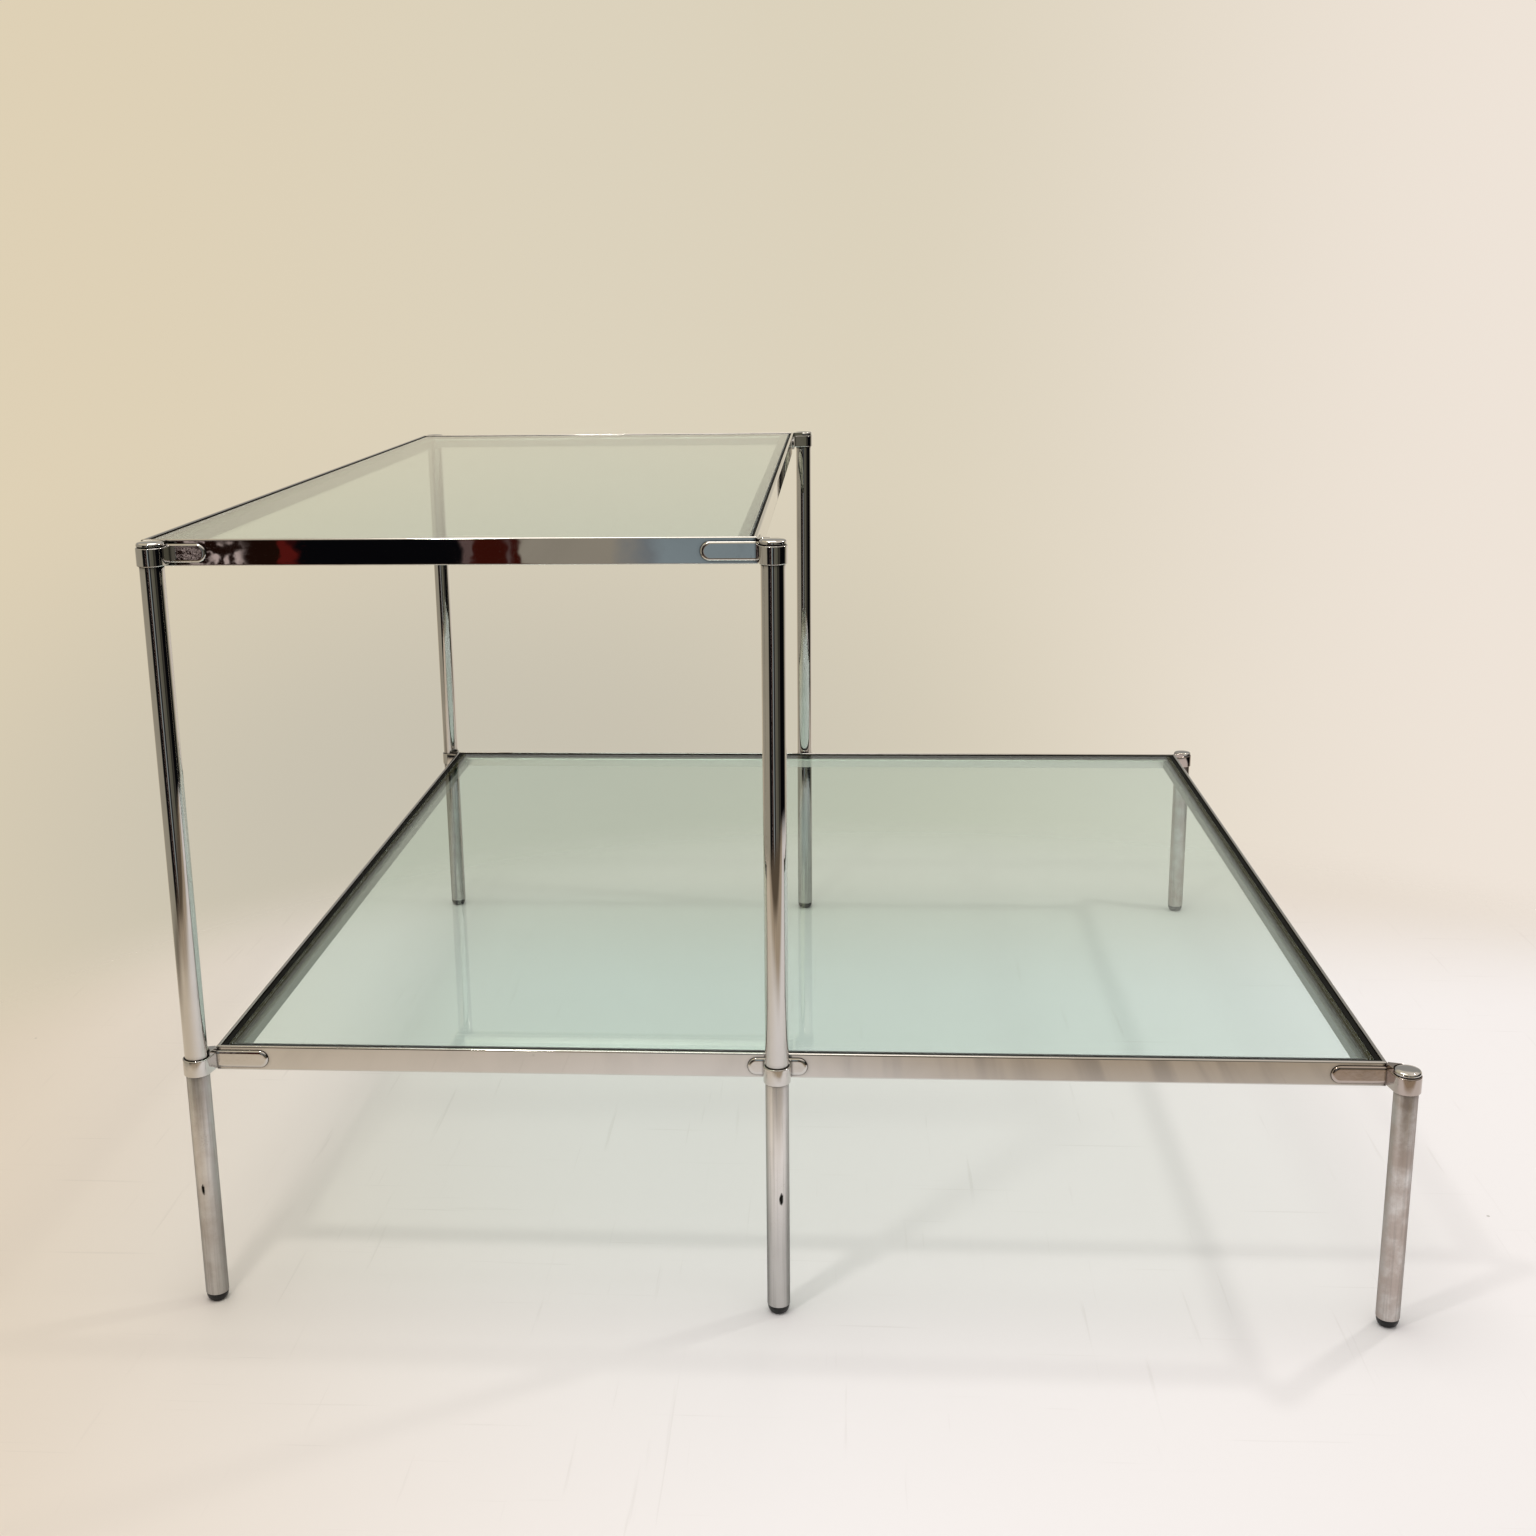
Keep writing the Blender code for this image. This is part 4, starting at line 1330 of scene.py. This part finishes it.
class SIDETABLE_OT_stage(bpy.types.Operator):
    """Make the floor, the surroundings, the lights and the camera"""

    bl_idname = "sidetable.stage"
    bl_label = "Studio"

    def execute(self, context):
        stage = context.scene.table_stage
        self.floor(stage)
        self.surroundings(context.scene, stage)
        self.light("softbox", stage.soft_place, stage.soft_size, stage.soft_power, stage.lamp)
        self.light("lamp_front", stage.front_place, stage.lamp_size, stage.lamp_power, stage.lamp)
        self.light("lamp_right", stage.right_place, stage.lamp_size, stage.lamp_power, stage.lamp)
        self.camera(context.scene, stage)
        context.scene.view_settings.view_transform = "Standard"
        return {"FINISHED"}

    def floor(self, stage):
        """A round pale floor."""
        reach = stage.floor_reach + stage.floor_fade
        facets = 128
        rim = arc(stage.floor_middle, reach, 0, 360, facets)[:-1]
        mesh = bpy.data.meshes.new("floor")
        mesh.from_pydata([(x, y, 0.0) for x, y in rim], [], [range(len(rim))])
        mesh.materials.append(new_material("studio_floor", self.floor_finish, stage))
        floor = new_object("floor", mesh)

    def floor_finish(self, tree, stage):
        """Paper with scuffs and specks, whose rim fades into the backdrop."""
        place = object_place(tree)
        scuffs = use_group(tree, rub_marks, fineness=5.0, amount=0.10)["Scratches"]
        cells = next_node("ShaderNodeTexVoronoi", {"Vector": place, "Scale": 6.5}).outputs["Distance"]
        specks = linear(ramp(cells, 0.006, 0.014), -0.6, 0.6)
        marks = maths("MAXIMUM", scuffs, specks)
        away = size_of(about(place, stage.floor_middle))
        fade = ramp(away, stage.floor_reach, stage.floor_reach + stage.floor_fade)
        clear = add_node(tree, "ShaderNodeBsdfTransparent")
        set_surface(tree, blended(fade, tree.nodes["Principled BSDF"], clear))
        return {
            "Base Color": mixed(marks, self.floor_tones(tree, stage, place), stage.floor_mark),
            "Roughness": 0.75,
            "Specular IOR Level": 0.2,
        }

    def floor_tones(self, tree, stage, place):
        """Pale paper with painted light: shaded and warm on the left, lighter on the right, and shaded at the
        rear. Reflections show boards in front of it.
        """
        axes = axes_of(place)
        ahead = maths("MULTIPLY", axes["Y"], -1.0)
        across = linear(axes["Y"], 0.3, axes["X"])
        rightward = ramp(axes["X"], -0.2, 0.3)
        start = linear(rightward, -0.11, 0.93)
        end = linear(rightward, -0.16, 1.22)
        mirrored = add_node(tree, "ShaderNodeLightPath").outputs["Is Glossy Ray"]
        grain = noise(mapped(place, scale=(26.0, 1.0, 1.0)), 1.0, 3.0)
        boards = layered(
            stage.floor_front,
            (ramp(grain, 0.46, 0.66), scaled(stage.floor_front, 0.66)),
            (ramp(ahead, 1.20, 1.38), stage.floor_far),
        )
        # Painted shade across the floor: darker and warmer on the left, lighter on the right
        return layered(
            stage.floor_left,
            (ramp(across, -1.10, -0.15), stage.floor_right),
            (ramp(axes["Y"], 0.15, 0.65), stage.floor_rear),
            (times(mirrored, ramp(ahead, start, end)), boards),
        )

    def surroundings(self, scene, stage):
        """Cream backdrop for the eye, a dim room low in front for the metal, and soft light for the rest."""
        world = bpy.data.worlds.new("studio")
        scene.world = world
        world.use_nodes = True
        tree = world.node_tree
        heading = add_node(tree, "ShaderNodeTexCoord").outputs["Generated"]
        axes = axes_of(heading)
        paths = add_node(tree, "ShaderNodeLightPath").outputs
        straight = maths("MAXIMUM", paths["Is Camera Ray"], paths["Is Transmission Ray"])
        direct = maths("MAXIMUM", straight, paths["Is Glossy Ray"])
        mirrored = maths("SUBTRACT", paths["Is Glossy Ray"], paths["Is Transmission Ray"])
        overhead = times(ramp(axes["Z"], 0.04, 0.26), fall(axes["Z"], 0.46, 0.60))
        low = times(fall(axes["Z"], 0.25, 0.50), fall(axes["Y"], 0.55, 0.85))
        # The backdrop carries painted shade: darker and warmer on the left, and a soft shade behind the shelf
        shown = layered(
            stage.wall_left,
            (ramp(axes["X"], -0.45, -0.10), stage.wall_middle),
            (ramp(axes["X"], 0.0, 0.36), stage.wall_right),
            (self.wall_shade(heading), stage.wall_dim),
            (times(mirrored, overhead), stage.ceiling),
            (times(mirrored, low), self.room(stage, heading)),
        )
        fill = between(ramp(axes["Z"], 0.0, 1.0), stage.fill_low, stage.fill_high)
        inputs = {
            "Color": mixed(direct, stage.fill, shown),
            "Strength": maths("MAXIMUM", fill, direct),
        }
        feed(tree, tree.nodes["Background"], inputs)

    def wall_shade(self, heading):
        """A soft shade on the backdrop behind the shelf."""
        spread = (2.6, 1.0, 4.6)
        middle = (-0.20, 0.95, -0.29)
        away = size_of(about(heading, middle, spread))
        return times(fall(away, 0.15, 1.1), 0.85)

    def room(self, stage, heading):
        """The room round the studio, by compass angle from the front, which only reflections show."""
        dark = (0.003, 0.003, 0.004)
        dusk = (0.022, 0.021, 0.019)
        cream = (0.66, 0.58, 0.46)
        olive = (0.14, 0.135, 0.10)
        sand = (0.17, 0.158, 0.13)
        bronze = (0.055, 0.05, 0.04)
        shaded_wall = (0.41, 0.37, 0.29)
        blush = (0.60, 0.48, 0.45)
        umber = (0.014, 0.005, 0.003)
        maroon = (0.05, 0.007, 0.004)
        red_brown = (0.11, 0.010, 0.008)
        rose = (0.13, 0.085, 0.08)
        beige = (0.36, 0.325, 0.265)
        slate = (0.215, 0.24, 0.26)
        blue_grey = (0.27, 0.33, 0.36)
        round_about = (
            (-180, cream), (-140, cream), (-120, shaded_wall), (-48, shaded_wall), (-42, dark), (1, dusk),
            (9, dusk), (12, sand), (19, sand), (24, olive), (36, olive), (42, dusk), (48, bronze),
            (56, bronze), (60, dark), (104, dark), (112, olive), (126, cream), (180, cream),
        )
        in_front = (
            (-24, dark), (-21.6, dark), (-21.2, blush), (-19.3, blush), (-19, umber), (-18, umber),
            (-17.95, red_brown), (-17.6, red_brown), (-17.5, dark), (-12.4, dark), (-12.3, rose),
            (-12, rose), (-11.9, maroon), (-10.95, maroon), (-10.9, rose), (-10.82, rose), (-10.77, maroon),
            (-10.5, maroon), (-10.45, beige), (-7.6, beige), (-6.5, slate), (-5.8, blue_grey),
            (-2.5, blue_grey), (0, dusk),
        )
        clutter_end = math.radians(-19.1)
        ripple = math.radians(0.8)
        axes = axes_of(heading)
        compass = maths("ARCTAN2", axes["X"], maths("MULTIPLY", axes["Y"], -1.0))
        aside = maths("SUBTRACT", noise(heading, 110.0, 2.0), 0.5)
        angle = linear(aside, ripple, compass)
        after = maths("GREATER_THAN", angle, math.radians(in_front[0][0]))
        before = maths("LESS_THAN", angle, math.radians(in_front[-1][0]))
        clutter = ramp(noise(heading, 150.0, 2.0), 0.40, 0.48)
        leftmost = maths("LESS_THAN", angle, clutter_end)
        fine = mixed(times(leftmost, clutter), self.bands(angle, in_front), umber)
        return layered(
            self.bands(angle, round_about),
            (times(after, before), fine),
            (fall(axes["Z"], -0.46, -0.36), stage.room_floor),
        )

    def bands(self, angle, tones):
        """Upright bands of tones, each set at a compass angle in degrees."""
        first, last = tones[0][0], tones[-1][0]
        inputs = {"Value": angle, "From Min": math.radians(first), "From Max": math.radians(last)}
        along = next_node("ShaderNodeMapRange", inputs).outputs["Result"]
        scale = next_node("ShaderNodeValToRGB", {"Fac": along})
        stops = scale.color_ramp.elements
        while len(stops) < len(tones):
            stops.new(0.5)
        for stop, (degrees, tone) in zip(stops, tones):
            stop.position = (degrees - first) / (last - first)
            stop.color = opaque(tone)
        return scale.outputs["Color"]

    def light(self, name, place, size, power, tint):
        """A square lamp that faces the middle of the table."""
        target = Vector((0.0, 0.0, 0.2))
        lamp = bpy.data.lights.new(name, "AREA")
        lamp.shape = "SQUARE"
        lamp.size = size
        lamp.energy = power
        lamp.color = tint
        obj = new_object(name, lamp)
        obj.location = place
        obj.rotation_euler = (target - Vector(place)).to_track_quat("-Z", "Y").to_euler()

    def camera(self, scene, stage):
        data = bpy.data.cameras.new("camera")
        data.sensor_width = 36.0
        data.lens = stage.lens
        data.shift_x, data.shift_y = stage.shift
        data.clip_start = 0.01
        camera = new_object("camera", data)
        camera.location = stage.eye
        camera.rotation_euler = stage.turn
        scene.camera = camera


class SIDETABLE_PT_panel(bpy.types.Panel):
    """Lists the table's sizes, colours and building steps"""

    bl_label = "Side Table"
    bl_idname = "SIDETABLE_PT_panel"
    bl_space_type = "VIEW_3D"
    bl_region_type = "UI"
    bl_category = "Side Table"

    def draw(self, context):
        for step in STEPS:
            self.layout.operator(step.bl_idname)
        for group in (context.scene.table_sizes, context.scene.table_finishes, context.scene.table_stage):
            box = self.layout.box()
            for name in group.__annotations__:
                box.prop(group, name)


GROUPS = {"table_sizes": TableSizes, "table_finishes": TableFinishes, "table_stage": TableStage}
STEPS = (
    SIDETABLE_OT_tubes,
    SIDETABLE_OT_ends,
    SIDETABLE_OT_connectors,
    SIDETABLE_OT_rails,
    SIDETABLE_OT_panes,
    SIDETABLE_OT_spigots,
    SIDETABLE_OT_stage,
)
CLASSES = (*GROUPS.values(), *STEPS, SIDETABLE_PT_panel)


def register():
    for cls in CLASSES:
        bpy.utils.register_class(cls)
    for name, group in GROUPS.items():
        setattr(bpy.types.Scene, name, PointerProperty(type=group))


def unregister():
    for name in GROUPS:
        delattr(bpy.types.Scene, name)
    for cls in reversed(CLASSES):
        bpy.utils.unregister_class(cls)


def main():
    register()
    bpy.ops.sidetable.tubes()
    bpy.ops.sidetable.ends()
    bpy.ops.sidetable.connectors()
    bpy.ops.sidetable.rails()
    bpy.ops.sidetable.panes()
    bpy.ops.sidetable.spigots()
    bpy.ops.sidetable.stage()


if __name__ == "__main__":
    main()
